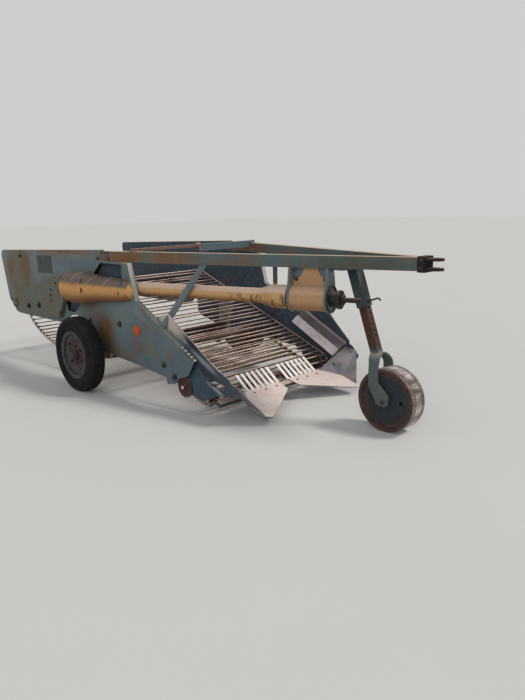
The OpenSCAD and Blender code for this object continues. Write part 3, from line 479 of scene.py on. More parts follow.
# %% Depth wheel
low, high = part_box("depth_wheel")
wheel_x, wheel_z, wheel_r = (low.x + high.x) / 2, (low.z + high.z) / 2, (high.x - low.x) / 2
depth = Finish("depth_wheel_finish")
radius = depth.distance_from(wheel_x, wheel_z)
off_middle = abs(depth.axis("Y"))
depth_grain = depth.noise(30, 5, 0.62)
depth_streak = depth.noise(5, 5, 0.65, stretch=(1.0, 0.35, 1.0))
disc_paint = depth.mix(depth_grain.between(0.4, 0.7), (36, 43, 48), (31, 33, 38))
ring_rust = depth.mix(depth_grain.between(0.42, 0.62), (74, 50, 44), (50, 40, 40))
ring = (radius + 0.05 * (depth_grain - 0.5)).between(0.15, 0.172)
tread = radius.between(wheel_r - 0.0045, wheel_r - 0.0025)
tread_tone = depth.mix(depth_streak.between(0.45, 0.62), (188, 178, 176), (84, 68, 62))
edge_band = (off_middle + 0.012 * (depth_grain - 0.5)).between(0.04, 0.044)
edge_rust = depth.mix(depth_grain.between(0.4, 0.6), (122, 98, 88), (80, 62, 56))
tread_tone = depth.mix(edge_band * 0.75, tread_tone, edge_rust)
groove = off_middle.between(0.034, 0.037) * off_middle.between(0.0425, 0.0405)
tread_tone = depth.mix(groove, tread_tone, (40, 32, 32))
depth.set(Base_Color=depth.mix(tread, depth.mix(ring, disc_paint, ring_rust), tread_tone),
          Metallic=tread * 0.3, Roughness=0.75 - 0.35 * tread + 0.15 * depth_grain)
depth.bump(depth_grain)
print("depth wheel at", round(wheel_x, 3), round(wheel_z, 3), "radius", round(wheel_r, 3))

# %% [markdown]
# The road wheels are grey discs with a brown well, in black rubber that the dust has greyed at the shoulder:
# rings again, round the road axle. The reflector is amber plastic with small facets, and cells give both its
# colour and its bumps.

# %% Road wheels and reflector
low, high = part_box("tyre_left")
axle_x, axle_z, tyre_r = (low.x + high.x) / 2, (low.z + high.z) / 2, (high.x - low.x) / 2
track_half, tyre_half = (low.y + high.y) / 2, (high.y - low.y) / 2
rim = Finish("rim_finish")
rim_grain = rim.noise(26, 5, 0.62)
rim_grey = rim.mix(rim_grain.between(0.4, 0.65), (64, 60, 60), (50, 47, 46))
rim_brown = rim.mix(rim_grain.between(0.4, 0.65), (62, 48, 44), (42, 36, 34))
disc_mask = (rim.distance_from(axle_x, axle_z) + 0.04 * (rim_grain - 0.5)).between(0.115, 0.15)
rim.set(Base_Color=rim.mix(disc_mask, rim_brown, rim_grey), Roughness=0.7 + 0.2 * rim_grain)
rim.bump(rim_grain)

rubber = Finish("tyre_rubber", Specular_IOR_Level=0.2)
rubber_grain = rubber.noise(50, 5, 0.65)
shoulder = rubber.distance_from(axle_x, axle_z).between(0.29, 0.315)
grimy = (rubber.noise(6, 4, 0.6).between(0.4, 0.7) * 0.4 + shoulder * 0.3).clamped()
rubber_tone = rubber.mix(rubber_grain.between(0.35, 0.7), (13, 13, 14), (21, 20, 21))
rubber.set(Base_Color=rubber.mix(grimy * 0.35, rubber_tone, (70, 62, 55)),
           Roughness=0.8 + 0.15 * rubber_grain)
rubber.bump(rubber_grain, 0.25, 0.001)

amber = Finish("reflector_amber", Roughness=0.3)
facets = amber.cells(160)
amber.set(Base_Color=amber.mix(facets.between(0.1, 0.6), (222, 104, 44), (184, 74, 28)))
amber.bump(facets, 0.4, 0.001)
print("road axle at", round(axle_x, 3), round(axle_z, 3), "tyre radius", round(tyre_r, 4))

# %% [markdown]
# Now every node of the frame gets its finish from a table. Most pieces stand on both sides, so the table
# holds the name without its side.

# %% Finish every node
finishes = {
    "panel": panel_blue, "wall": wall_blue, "nose": nose_blue, "deflector": deflector_steel,
    "share": share_steel, "share_beam": sleeve_blue, "fingers": finger_steel, "beam": beam_blue,
    "hitch_head": hitch_rust, "strut": strut_blue, "cross_bar": bar.material, "rear_tie": wall_blue,
    "axle_tube": roller_dark, "axle_arm": arm_dust, "tyre": rubber.material, "rim": rim.material,
    "web": rod_steel, "drive_roller": roller_dark, "front_roller": roller_dark,
    "support_rollers": roller_dark, "idler": idler_rust, "gear_housing": housing_tan,
    "chain_case": case_blue, "guard_tube": tube_tan, "guard_drum": drum_tan, "hangers": strut_blue,
    "input_shaft": oily_black, "post_sleeve": sleeve_blue, "inner_post": post.material,
    "lock_pin": bolt_dark, "depth_wheel": depth.material, "reflector": amber.material,
}
dressed = set()
for name, material in finishes.items():
    for node in [name] if name in nodes else [f"{name}_{side}" for side, sign in sides]:
        nodes[node].data.materials.clear()
        nodes[node].data.materials.append(material)
        dressed.add(node)
print("nodes with a finish", len(dressed), "left over", sorted(set(nodes) - dressed))

# %% [markdown]
# New pieces are built in mesh code. Every form here is a skin between rings of vertices: a turned form from
# a profile, a bolt with its washer and thread, a bead swept along a path, a flat sheet from an outline. Each
# adds to an open bmesh, so that a row of bolts becomes one object, which rides on the body that carries it.


# %% Rings and turned forms
def circle(count, r=1.0, start=0.0):
    """Places round a circle; start turns them by that part of a step."""
    angles = [math.tau * (i + start) / count for i in range(count)]
    return [(r * math.cos(a), r * math.sin(a)) for a in angles]


def add_skin(mesh, rings, closed=False, capped=False):
    """Faces between rings of vertices, where a ring of one is a tip."""
    for lower, upper in list(zip(rings, rings[1:])) + ([(rings[-1], rings[0])] if closed else []):
        for i in range(max(len(lower), len(upper))):
            spots = ((lower, i), (lower, i + 1), (upper, i + 1), (upper, i))
            corners = list(dict.fromkeys(ring[k % len(ring)] for ring, k in spots))
            if len(corners) > 2:
                mesh.faces.new(corners)
    for ring in (rings[0], rings[-1]) if capped else ():
        mesh.faces.new(ring)


def facing_frame(place, out, spin=0.0):
    """A matrix that stands at place with its Z along out."""
    turn = Vector(out).to_track_quat("Z", "Y").to_matrix().to_4x4()
    return Matrix.Translation(place) @ turn @ Matrix.Rotation(spin, 4, "Z")


def add_turned(mesh, profile, stand, steps=24, closed=False):
    """Turns rows of (radius, height) about the stand's Z."""
    rings = []
    for r, height in profile:
        spots = circle(steps, r) if r > 0 else [(0, 0)]
        rings.append([mesh.verts.new(stand @ Vector((x, y, height))) for x, y in spots])
    add_skin(mesh, rings, closed)


print("a square on the unit circle", [(round(x), round(y)) for x, y in circle(4)])


# %% Bolts, beads and sheets
def add_bolt(mesh, place, out, size, washer, stud):
    """A washer, a chamfered hexagon head and its thread's rounded end; size is half the head's width."""
    stand = facing_frame(place, out, (place[0] * 37.0 + place[2] * 53.0) % 1.0)
    ring, under = 1.25 + 0.35 * washer, -0.001 / size
    washer_rows = [(0, under), (ring, under), (ring, 0.12), (ring * 0.93, 0.2), (0, 0.2)]
    head_rows = [(1.12, 0.18), (1.15, 0.8), (0.98, 0.95), (0, 0.95)]
    thread_rows = [(0.5, 0.9), (0.5, 0.95 + stud), (0.38, 1.1 + stud), (0, 1.12 + stud)]
    for rows, steps in ((washer_rows, 20), (head_rows, 6), (thread_rows, 12)):
        add_turned(mesh, [(size * r, size * height) for r, height in rows], stand, steps)


def add_bead(mesh, path, thick=0.004, sections=7, closed=False, uneven=0.12):
    """A weld bead or rod along a path; its section is carried along without twist."""
    points = [Vector(p) for p in path]
    rings, across, before = [], None, None
    for i, point in enumerate(points):
        after = points[(i + 1) % len(points)] if closed else points[min(i + 1, len(points) - 1)]
        along = (after - points[i - 1 if closed else max(i - 1, 0)]).normalized()
        across = along.orthogonal().normalized() if i == 0 else before.rotation_difference(along) @ across
        before, third = along, along.cross(across)
        width = thick * (1 + uneven * math.sin(i * 2.4))
        rings.append([mesh.verts.new(point + width * (across * c + third * s)) for c, s in circle(sections)])
    add_skin(mesh, rings, closed, capped=not closed)


def add_sheet(mesh, outline, thick, stand):
    """A flat sheet from an outline in the stand's X and Y, thick along its Z, with a small chamfer."""
    edge = thick * 0.25
    corners = [Vector((x, y, 0)) for x, y in outline]
    centre = sum(corners, Vector()) / len(corners)
    rings = []
    for height, shrink in ((0, 0), (thick - edge, 0), (thick, edge)):
        raised = Vector((0, 0, height))
        rings.append([mesh.verts.new(stand @ (corner + (centre - corner).normalized() * shrink + raised))
                      for corner in corners])
    add_skin(mesh, rings, capped=True)


def finish_piece(mesh, name, material, body="machine", smooth=35.0):
    """Turns an open bmesh into a named object on its body, with outward faces and soft shading."""
    bmesh.ops.recalc_face_normals(mesh, faces=mesh.faces)
    data = bpy.data.meshes.new(name)
    mesh.to_mesh(data)
    mesh.free()
    data.materials.append(material)
    for face in data.polygons:
        face.use_smooth = True
    data.set_sharp_from_angle(angle=math.radians(smooth))
    piece = bpy.data.objects.new(name, data)
    show(piece)
    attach(piece, body)
    print(name, len(data.polygons), "faces on", body)
    return piece


print("tools", *(tool.__name__ for tool in (add_turned, add_bolt, add_bead, add_sheet)))

# %% [markdown]
# The tyres carry worn ribs. A tyre's skin is a grid: one way round the axle, the other way across the
# section. The grooves are pressed into that grid, two of them wavy, and short slots cross each shoulder. The
# inside follows the same section, thinner, down to the beads on the rim.

# %% Tyre section and tread
rim_r, groove_deep, blocks, tread_steps = 0.206, 0.007, 36, 36
tread_half, bead_half, tread_edge, shoulder_from = tyre_half * 0.58, tyre_half * 0.755, 0.048, 0.032
# Columns: a groove's distance from the middle, half its width, and how far it wanders from side to side.
grooves = [(0.011, 0.004, -0.0035), (0.029, 0.0038, 0.0014)]
# Columns: radius and distance from the tyre's middle plane, from the bead over the sidewall's rib up.
sidewall = [(rim_r - 0.021, -bead_half), (rim_r + 0.001, -bead_half), (rim_r + 0.012, -bead_half - 0.007),
            (0.24, -tyre_half + 0.003), (0.2645, -tyre_half), (0.268, -tyre_half - 0.0012),
            (0.2715, -tyre_half + 0.0006), (0.29, -tyre_half + 0.004), (0.3063, -tyre_half * 0.85),
            (0.3145, -tyre_half * 0.71)]
across_tread = [-tread_half + 2 * tread_half * i / tread_steps for i in range(tread_steps + 1)]
outer = sidewall + [(tyre_r - 0.0035 * (y / tread_half) ** 4, y) for y in across_tread]
outer += [(r, -y) for r, y in sidewall[::-1]]
inner = [(rim_r - 0.021, bead_half - 0.01), (rim_r + 0.006, bead_half - 0.01), (0.2645, tyre_half - 0.01),
         (tyre_r - 0.018, tread_half)]
inner += [(r, -y) for r, y in inner[::-1]]


def groove_depth(angle, y):
    """How deep the tread is cut at this place."""
    wave = math.sin(angle * blocks)
    cuts = [1 - abs(abs(y + wander * wave) - middle) / wide for middle, wide, wander in grooves]
    slot = 1 - abs(wave) / 0.32 if abs(y) > shoulder_from else 0.0
    return groove_deep * min(1.0, 1.6 * max(0.0, slot, *cuts))


print("tyre section", len(outer), "rows outside,", len(inner), "inside")

# %% Road tyres
around = 216
for side, sign in sides:
    mesh = bmesh.new()
    stand = facing_frame((axle_x, sign * track_half, axle_z), (0, 1, 0))
    grid = []
    for i in range(around):
        a = math.tau * i / around
        cut = [(r - groove_depth(a, y) if abs(y) < tread_edge else r, y) for r, y in outer]
        grid.append([mesh.verts.new(stand @ Vector((r * math.cos(a), r * math.sin(a), y)))
                     for r, y in cut + inner])
    add_skin(mesh, grid, closed=True)
    body = f"wheel_{side}"
    tyre = finish_piece(mesh, f"road_tyre_{side}", rubber.material, body, 50)
    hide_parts(f"tyre_{side}")

# %% [markdown]
# In the frame the web's rods are plain square bars, light enough for a physics engine. The real ones are
# round steel: each end bends forward, and its eye closes over the next rod to chain the loop. Their places
# are read from the frame's own mesh, one loose part for each rod and in the mesh's own order, so the new rods
# lie exactly on the old ones. Years of stones have bowed them a little, each one differently.

# %% Find the web's rods
web_mesh = bmesh.new()
web_mesh.from_mesh(nodes["web"].data)
bmesh.ops.remove_doubles(web_mesh, verts=web_mesh.verts, dist=0.00001)
rods, waiting = [], set(web_mesh.verts)
for first in web_mesh.verts:
    if first not in waiting:
        continue
    waiting.discard(first)
    part, edge_of = [], [first]
    while edge_of:
        vert = edge_of.pop()
        part.append(vert.co.copy())
        near = {e.other_vert(vert) for e in vert.link_edges} & waiting
        waiting -= near
        edge_of += near
    half = max(c.y for c in part)
    at_end = {(round(c.x, 4), round(c.z, 4)) for c in part if c.y > half - 0.001}
    inside = {(round(c.x, 4), round(c.z, 4)) for c in part if 0 < c.y < half - 0.001}
    back, front = [Vector((sum(x for x, z in spots) / len(spots), 0, sum(z for x, z in spots) / len(spots)))
                   for spots in (at_end - inside, inside - at_end)]
    rods.append(((back + front) / 2, (front - back).normalized(), half))
web_mesh.free()
print("rods", len(rods), "half width", round(rods[0][2], 3), "first at", [round(v, 3) for v in rods[0][0]])

# %% Web rods
rod_radius, eye_radius, eye_inset, bend, rod_pitch = 0.007, 0.0122, 0.015, 0.012, 0.06
eye_start, eye_turn, eye_steps = math.radians(207), math.radians(243), 8
mesh = bmesh.new()
for index, (centre, forward, half) in enumerate(rods):
    expected = centre + rod_pitch * forward
    next_rod = min((spot for spot, _, _ in rods), key=lambda spot: (spot - expected).length)
    step = (next_rod - centre).length
    ahead = (next_rod - centre) / step
    out = Vector((0, 1, 0)).cross(ahead)
    edge, bow = half - rod_radius, 0.004 * math.sin(index * 2.3)
    half_path = []
    for k in range(eye_steps + 1):
        a = eye_start - eye_turn * k / eye_steps
        eye = ahead * (step + eye_radius * math.sin(a)) + out * eye_radius * math.cos(a)
        half_path.append(eye + Vector((0, edge - eye_inset, 0)))
    half_path.append(ahead * bend + Vector((0, edge, 0)))
    for k in range(1, 4):
        a = math.pi / 2 * k / 3
        half_path.append(ahead * bend * (1 - math.sin(a)) + Vector((0, edge - bend * (1 - math.cos(a)), 0)))
    middle = [Vector((0, y, 0)) + (ahead + out) * bow * (1 - (y / edge) ** 2)
              for y in (0.4, 0.15, -0.15, -0.4)]
    mirrored = [Vector((v.x, -v.y, v.z)) for v in half_path[::-1]]
    add_bead(mesh, [centre + v for v in half_path + middle + mirrored], rod_radius, 8, uneven=0.0)
web_rods = finish_piece(mesh, "web_rods", rod_steel, smooth=60)
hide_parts("web")

# %% [markdown]
# The pressed rims still need what holds them: a ring of wheel nuts on the disc, a hub cap over the bearing
# and a valve through the rim. All of them ride on the wheel's body, so they turn with it.

# %% Wheel nuts, hub caps and valves
nut_circle = 0.078
cap_rows = [(0.0, 0.078), (0.014, 0.077), (0.026, 0.072), (0.031, 0.064), (0.032, 0.0462), (0.0, 0.0462)]
collar_rows = [(0.041, 0.0462), (0.041, 0.052), (0.0385, 0.0545), (0.03, 0.0545), (0.03, 0.0462)]
for side, sign in sides:
    body = f"wheel_{side}"
    out = Vector((0, sign, 0))
    hub = Vector((axle_x, sign * track_half, axle_z))
    mesh = bmesh.new()
    for x, z in circle(5, nut_circle, 0.5):
        add_bolt(mesh, hub + Vector((x, sign * 0.016, z)), out, 0.011, 0.4, 0.7)
    finish_piece(mesh, f"wheel_nuts_{side}", bolt_dark, body=body)
    mesh = bmesh.new()
    add_turned(mesh, cap_rows, facing_frame(hub, out), 32)
    add_turned(mesh, collar_rows, facing_frame(hub, out), 32, closed=True)
    finish_piece(mesh, f"hub_cap_{side}", rim.material, body)
    mesh = bmesh.new()
    foot = hub + Vector((0.166, sign * 0.036, 0))
    bends = [(0.0, 0.0), (0.012, 0.0), (0.022, -0.004), (0.03, -0.008)]
    add_bead(mesh, [foot + rise * out + Vector((inward, 0, 0)) for rise, inward in bends])
    finish_piece(mesh, f"valve_{side}", seal_black, body=body)

# %% [markdown]
# The side panels are bolted together from pressed sheets: a few big bolts show on the lower panel, and rivets
# where the nose is fixed under the sloping band. The left side repeats those that both sides have.

# %% Panel bolts and nose rivets
panel_face = 0.746
# Columns: x, z and half the width of the bolt's head.
panel_bolts = [(-0.601, 0.571, 0.014), (-0.117, 0.593, 0.018), (0.474, 0.341, 0.016), (0.607, 0.27, 0.018),
               (-0.217, 1.121, 0.01), (-0.387, 1.122, 0.01), (-1.914, 1.085, 0.013)]
rivet_rows = [(0, 0.008), (0.006, 0.007), (0.0105, 0.004), (0.012, -0.001), (0, -0.001)]
ledge_out, ledge_fall = Vector((0.469, 0, 0.883)), 0.5309


def slope_z(x):
    """Height of the panel's sloping ledge."""
    return 0.806 - (x - 0.139) * ledge_fall


for side, sign in sides:
    mesh = bmesh.new()
    for x, z, size in panel_bolts:
        add_bolt(mesh, (x, sign * panel_face, z), (0, sign, 0), size, 1.0, 0.3)
    finish_piece(mesh, f"panel_bolts_{side}", bolt_dark)
    mesh = bmesh.new()
    for x in (0.7, 0.735, 0.77, 0.805, 0.84):
        add_turned(mesh, rivet_rows, facing_frame((x, sign * 0.728, slope_z(x)), ledge_out), 16)
    finish_piece(mesh, f"nose_rivets_{side}", bolt_bright)

# %% [markdown]
# The chain case on the right side is closed by small bolts along its rim. Two big heads hold its lower end,
# and three small ones sit on the bearing cover at its back.

# %% Chain case bolts
case_face = 0.79
cover_face = case_face + 0.0155
rim_bolts = [(-0.981, 0.905), (-1.112, 0.868), (-1.217, 0.798), (-0.999, 0.855), (-1.228, 0.747),
             (-1.241, 0.69), (-1.053, 0.81), (-1.066, 0.6)]
mesh = bmesh.new()
for x, z in rim_bolts:
    add_bolt(mesh, (x, -case_face, z), (0, -1, 0), 0.008, 0.8, 0.4)
for x, z in ((-1.726, 0.598), (-1.496, 0.625)):
    add_bolt(mesh, (x, -case_face, z), (0, -1, 0), 0.02, 1.0, 0.2)
for x, z in ((-2.07, 0.64), (-2.037, 0.575), (-2.004, 0.64)):
    add_bolt(mesh, (x, -cover_face, z), (0, -1, 0), 0.0075, 0.5, 0.3)
finish_piece(mesh, "chain_case_bolts", bolt_dark)

# %% [markdown]
# A dark rectangle on the rear panel is a bare plate, a little crooked. The gear housing shows raised ribs and
# a few open bolt holes. It is a tapered round skin, so one function gives a place on it from the distance
# along the housing and the turn round it, and each hole is a shallow black disc with a rim, its black the
# painted shade inside the hole.

# %% Bare plate and housing details
mesh = bmesh.new()
add_sheet(mesh, [(-0.15, -0.085), (0.15, -0.078), (0.152, 0.088), (-0.148, 0.082)], 0.0025,
          facing_frame((-1.388, -panel_face, 1.022), (0, -1, 0)))
finish_piece(mesh, "bare_patch", patch_dark)

house_from, house_to = Vector((-0.927, -0.826, 0.858)), Vector((0.127, -0.736, 0.884))
house_axis = (house_to - house_from).normalized()
# Columns: metres along the housing's axis, and its radius there.
house_radii = [(0.15, 0.104), (0.166, 0.128), (0.215, 0.138), (0.4, 0.138), (0.52, 0.118), (0.64, 0.104),
               (0.84, 0.098), (0.96, 0.084), (1.03, 0.066)]


def on_housing(along, turn, lift=0.0):
    """A place on the housing's skin: metres along its axis, degrees from the top towards the outer side."""
    for (s0, r0), (s1, r1) in zip(house_radii, house_radii[1:]):
        if s0 <= along <= s1:
            radius_at = r0 + (r1 - r0) * (along - s0) / (s1 - s0)
    a = math.radians(turn)
    return house_from + house_axis * along + (radius_at + lift) * Vector((0, -math.sin(a), math.cos(a)))


mesh = bmesh.new()
for along, lean in ((0.4, -0.06), (0.6, -0.05), (0.8, -0.03)):
    add_bead(mesh, [on_housing(along + lean * k / 12, 12 + 5 * k, 0.0005) for k in range(13)], 0.0035)
finish_piece(mesh, "housing_ribs", rib_tan)
# Columns: metres along, degrees round, and the hole's radius.
holes = [(0.475, 56, 0.02), (0.495, 92, 0.022), (0.95, 98, 0.013), (0.955, 42, 0.017), (0.925, 20, 0.014)]
# Each hole's black disc is painted shade for the dark inside of the open hole.
mesh = bmesh.new()
for along, turn, size in holes:
    spot, out = on_housing(along, turn, 0.0006), on_housing(along, turn, 0.1) - on_housing(along, turn)
    rim_rows = [(size * 1.1, -0.003), (size * 1.05, 0.0008), (size * 0.9, 0.0012), (size * 0.8, 0.0006),
                (0, 0.0006)]
    add_turned(mesh, rim_rows, facing_frame(spot, out), 20)
finish_piece(mesh, "housing_holes", seal_black)

# %% [markdown]
# Under the right beam hang the drive line's guards. A bolt at each side holds the hood to its gussets, a
# black seal ring fills the joint between cone and hanger, and bolts pass up into the beam. The beam runs
# inward to the hitch, so places are given along it, with a step beside it.

# %% Drive line fasteners
beam_start, beam_run, beam_inward = Vector((-0.18, -0.715, 0.0)), 2.415, 0.699
beam_turn = math.atan(beam_inward / beam_run)
drive_along = Vector((math.cos(beam_turn), math.sin(beam_turn), 0))
drive_out = Vector((math.sin(beam_turn), -math.cos(beam_turn), 0))
drive_z, beam_under = 0.89, 1.0995


def on_drive(x, side_step=0.0, z=drive_z):
    """A place beside the drive line: x along the machine, a step outward, and a height."""
    along = drive_along * ((x - beam_start.x) / drive_along.x)
    return beam_start + along + drive_out * side_step + Vector((0, 0, z))


mesh = bmesh.new()
for x in (1.412, 1.622):
    add_bolt(mesh, on_drive(x, 0.003, 1.022), drive_out, 0.011, 0.8, 0.4)
for x in (1.406, 1.672):
    for step in (-0.04, 0.04):
        add_bolt(mesh, on_drive(x, step, beam_under), (0, 0, -1), 0.009, 0.8, 0.3)
finish_piece(mesh, "hood_bolts", brown_rust)
seal_rows = [(0.0885, 0), (0.0935, 0.001), (0.0955, 0.006), (0.0935, 0.011), (0.0885, 0.012)]
mesh = bmesh.new()
for x in (1.3675, 1.6612):
    add_turned(mesh, seal_rows, facing_frame(on_drive(x), drive_along), 48, closed=True)
finish_piece(mesh, "drive_seals", seal_black)
coupling_rows = [(0.0185, 0.0), (0.03, 0.001), (0.034, 0.006), (0.034, 0.018), (0.0185, 0.019)]
mesh = bmesh.new()
add_turned(mesh, coupling_rows, facing_frame(on_drive(1.736), drive_along), 40, closed=True)
for c, s in circle(8, 0.048):
    add_bolt(mesh, on_drive(1.7295) + drive_out * c + Vector((0, 0, s)), drive_along, 0.0065, 0.6, 0.4)
finish_piece(mesh, "coupling_parts", oily_black, body="drive_input")

# %% [markdown]
# Weld beads run round the struts' feet and heads and along the hitch block. A round strut that meets a flat
# face at a slant leaves an oval seam, longest along the flat part of the strut's direction.

# %% Weld beads
strut_foot, strut_head, strut_r = (0.461, 0.7208, 0.6353), (0.685, 0.4807, beam_under), 0.0262
for side, sign in sides:
    mesh = bmesh.new()
    foot, head = [Vector((x, sign * y, z)) for x, y, z in (strut_foot, strut_head)]
    along_strut = (head - foot).normalized()
    for centre, normal in ((foot, ledge_out), (head, Vector((0, 0, 1)))):
        flat = (along_strut - normal * along_strut.dot(normal)).normalized()
        long_axis = flat * strut_r / abs(along_strut.dot(normal))
        short_axis = normal.cross(flat) * strut_r
        oval = [centre + long_axis * c + short_axis * s for c, s in circle(28)]
        add_bead(mesh, oval, 0.0038, closed=True)
    finish_piece(mesh, f"strut_welds_{side}", beam_blue)
hitch_x, run = 2.2345, [k / 12 for k in range(13)]
mesh = bmesh.new()
for sign in (-1, 1):
    add_bead(mesh, [(hitch_x, sign * 0.047, 1.102 + 0.081 * t) for t in run])
for z in (beam_under, 1.1855):
    add_bead(mesh, [(hitch_x, -0.045 + 0.09 * t, z) for t in run])
finish_piece(mesh, "hitch_welds", hitch_rust)

# %% [markdown]
# A few thin sheets close what the solids leave open. On the far nose stands a guide sheet that keeps the
# haulm off the wheel; its edge is rolled over a wire and rubbed bright. A plate carries the front bearing,
# and one behind each wheel arch keeps potatoes in the trough.


# %% Guide sheet and closing plates
def upright(y):
    """A matrix that turns a sheet's X and Y into the machine's X and Z, with its back at y."""
    return Matrix.Translation((0, y, 0)) @ Matrix.Rotation(math.radians(90), 4, "X")


mesh = bmesh.new()
bearing_turn = Matrix.Rotation(math.radians(155), 4, "Z")
add_sheet(mesh, [(-0.075, -0.045), (0.075, -0.045), (0.075, 0.045), (-0.075, 0.045)], 0.004,
          facing_frame((1.075, 0.705, 0.3), (0, 1, 0)) @ bearing_turn)
finish_piece(mesh, "bearing_plate_left", roller_dark)
sheet_thick = 0.003
guide = [(0.58, 0.63), (1.15, 0.335), (1.148, 0.385), (0.93, 0.6), (0.9, 0.618), (0.86, 0.626),
         (0.6, 0.66)]
mesh = bmesh.new()
add_sheet(mesh, guide, sheet_thick, upright(0.7035))
finish_piece(mesh, "nose_fin_left", wall_blue)
mesh = bmesh.new()
add_bead(mesh, [(x, 0.702, z) for x, z in guide[2:]], 0.0065, uneven=0.05)
finish_piece(mesh, "nose_fin_edge", bolt_bright)
arch_plate = [(-0.9, 0.6), (-0.895, 0.44), (-0.86, 0.395), (-0.56, 0.318), (-0.18, 0.296),
              (-0.18, 0.33), (-0.32, 0.44), (-0.79, 0.62)]
for side, sign in sides:
    mesh = bmesh.new()
    add_sheet(mesh, arch_plate, sheet_thick, upright(sign * 0.7025 + sheet_thick / 2))
    finish_piece(mesh, f"arch_skirt_{side}", wall_blue)

# %% [markdown]
# The depth wheel's tread ends in two thin hoops that the ground keeps bright, and they roll with the wheel.
# Its axle has a nut at each end of the fork, which slides with the post. Bolts hold the hitch, and the idlers
# turn on a pin with a bright cap, whose bright tone is a painted highlight.

# %% Depth wheel, hitch and idlers
mesh = bmesh.new()
for sign in (-1, 1):
    hoop = [(wheel_x + x, sign * 0.043, wheel_z + z) for x, z in circle(120, wheel_r - 0.004)]
    add_bead(mesh, hoop, 0.0038, closed=True)
finish_piece(mesh, "tread_hoops", bolt_bright, "depth_roll")
mesh = bmesh.new()
for sign in (-1, 1):
    for z in (1.115, 1.17):
        add_bolt(mesh, (2.262, sign * 0.052, z), (0, sign, 0), 0.01, 0.8, 0.5)
finish_piece(mesh, "hitch_bolts", bolt_dark)
mesh = bmesh.new()
for sign in (-1, 1):
    add_bolt(mesh, (wheel_x, sign * 0.1045, wheel_z), (0, sign, 0), 0.012, 0.3, 0.5)
finish_piece(mesh, "depth_axle_nuts", bolt_dark, body="depth_post")
low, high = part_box("idler_left")
idler_x, idler_z, idler_face = (low.x + high.x) / 2, (low.z + high.z) / 2, high.y
# The caps' bright tone is a painted highlight on the idler hubs.
caps, bolts = bmesh.new(), bmesh.new()
for sign in (-1, 1):
    add_turned(caps, [(0.0, 0.006), (0.009, 0.0055), (0.0135, 0.003), (0.0145, 0.0)],
               facing_frame((idler_x, sign * idler_face, idler_z), (0, sign, 0)), 24)
    for x, z in circle(3, 0.045, 0.3):
        place = (idler_x + x, sign * (idler_face - 0.02), idler_z + z)
        add_bolt(bolts, place, (0, sign, 0), 0.008, 0.4, 0.2)
finish_piece(caps, "idler_caps", bolt_bright)
finish_piece(bolts, "idler_bolts", bolt_dark)

# %% [markdown]
# Countersunk bolts hold the share blades, flush so that soil slides over them, and low round heads hold the
# wings. Each stands square to its own face, so its place comes with the way that the face looks.

# %% Share bolts
share_turn, down_blade, blade_top_x, blade_top_z = math.radians(14.8), 0.045, 1.03, 0.163
blade_x, blade_z = math.cos(share_turn), math.sin(share_turn)
sunk_rows = [(0.0, 0.0012), (0.004, 0.0008), (0.0105, 0.0016), (0.0115, 0.0004), (0.0115, -0.001)]
wing_rows = [(0.0, 0.004), (0.006, 0.0035), (0.01, 0.001), (0.011, -0.001)]
wing_heads = [((1.153, 0.687, 0.311), (0.1, -0.54, 0.84)), ((1.19, 0.672, 0.297), (0.1, -0.54, 0.84)),
              ((1.118, 0.527, 0.205), (0.58, -0.67, 0.47))]
for side, sign in sides:
    mesh = bmesh.new()
    for y in (0.12, 0.24, 0.36):
        spot = (blade_top_x + down_blade * blade_x, sign * y, blade_top_z - down_blade * blade_z)
        add_turned(mesh, sunk_rows, facing_frame(spot, (blade_z, 0, blade_x)), 20)
    for (x, y, z), out in wing_heads:
        add_turned(mesh, wing_rows, facing_frame((x, sign * y, z), (out[0], sign * out[1], out[2])), 20)
    finish_piece(mesh, f"share_bolts_{side}", bolt_dark)

# %% [markdown]
# The studio is a pale floor, a soft lamp above and behind the machine, as the sun stood in the photograph,
# and a weaker one from the camera's side. The world is pale for the camera and for reflections but lights the
# machine at a plain level, so that colours come out as they were mixed.

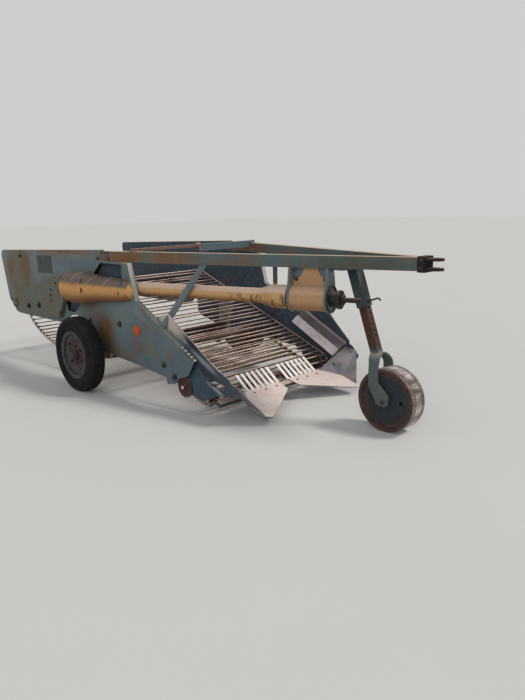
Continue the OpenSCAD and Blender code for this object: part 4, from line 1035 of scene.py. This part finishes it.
# %% Floor
floor = bpy.data.objects.new("floor", bpy.data.meshes.new("floor"))
mesh = bmesh.new()
bmesh.ops.create_grid(mesh, x_segments=1, y_segments=1, size=60)
mesh.to_mesh(floor.data)
mesh.free()
show(floor)
ground = Finish("floor_pale", Roughness=0.9, Specular_IOR_Level=0.1)
# These two tones are linear values, so they go in without mix.
pale_tones = {0: ground.noise(0.5, 3), 6: (0.6, 0.59, 0.57), 7: (0.63, 0.62, 0.6)}
ground.set(Base_Color=ground.node("ShaderNodeMix", pale_tones, out=2, data_type="RGBA"))
floor.data.materials.append(ground.material)
print("floor", floor.dimensions.x, "m wide")

# %% World and lamps
world = bpy.data.worlds.new("studio")
scene.world = world
world.use_nodes = True
studio = Nodes(world.node_tree)
studio.tree.nodes.remove(studio.tree.nodes["Background"])
camera_ray, glossy_ray, clear_ray = [studio.node("ShaderNodeLightPath", out=f"Is {kind} Ray")
                                     for kind in ("Camera", "Glossy", "Transmission")]
lit = studio.node("ShaderNodeBackground", {"Color": (0.95, 0.97, 1.0), "Strength": 0.42})
seen = studio.node("ShaderNodeBackground", {"Color": (0.62, 0.62, 0.61), "Strength": 1.0})
is_seen = (camera_ray + glossy_ray + clear_ray).clamped()
chosen = studio.node("ShaderNodeMixShader", {0: is_seen, 1: lit, 2: seen})
studio.feed(studio.tree.nodes["World Output"].inputs["Surface"], chosen)


def soft_lamp(name, place, spread, strength, colour):
    """Even light from one side over the whole floor; the spread in degrees softens its shadows."""
    lamp = bpy.data.objects.new(name, bpy.data.lights.new(name, "SUN"))
    lamp.data.angle, lamp.data.energy, lamp.data.color = math.radians(spread), strength, colour
    lamp.location = place
    lamp.rotation_euler = (-Vector(place)).to_track_quat("-Z", "Y").to_euler()
    show(lamp)
    print(name, "from", place, "strength", strength)


soft_lamp("key", (4.2, 3.2, 6.2), 14, 1.8, (1.0, 0.97, 0.92))
soft_lamp("fill", (3.0, -5.0, 3.0), 40, 0.9, (0.97, 0.98, 1.0))
scene.view_settings.view_transform = "Standard"

# %% [markdown] Last, the view layer is brought up to date.

# %% Update the view layer
bpy.context.view_layer.update()
bpy.context.view_layer.update()
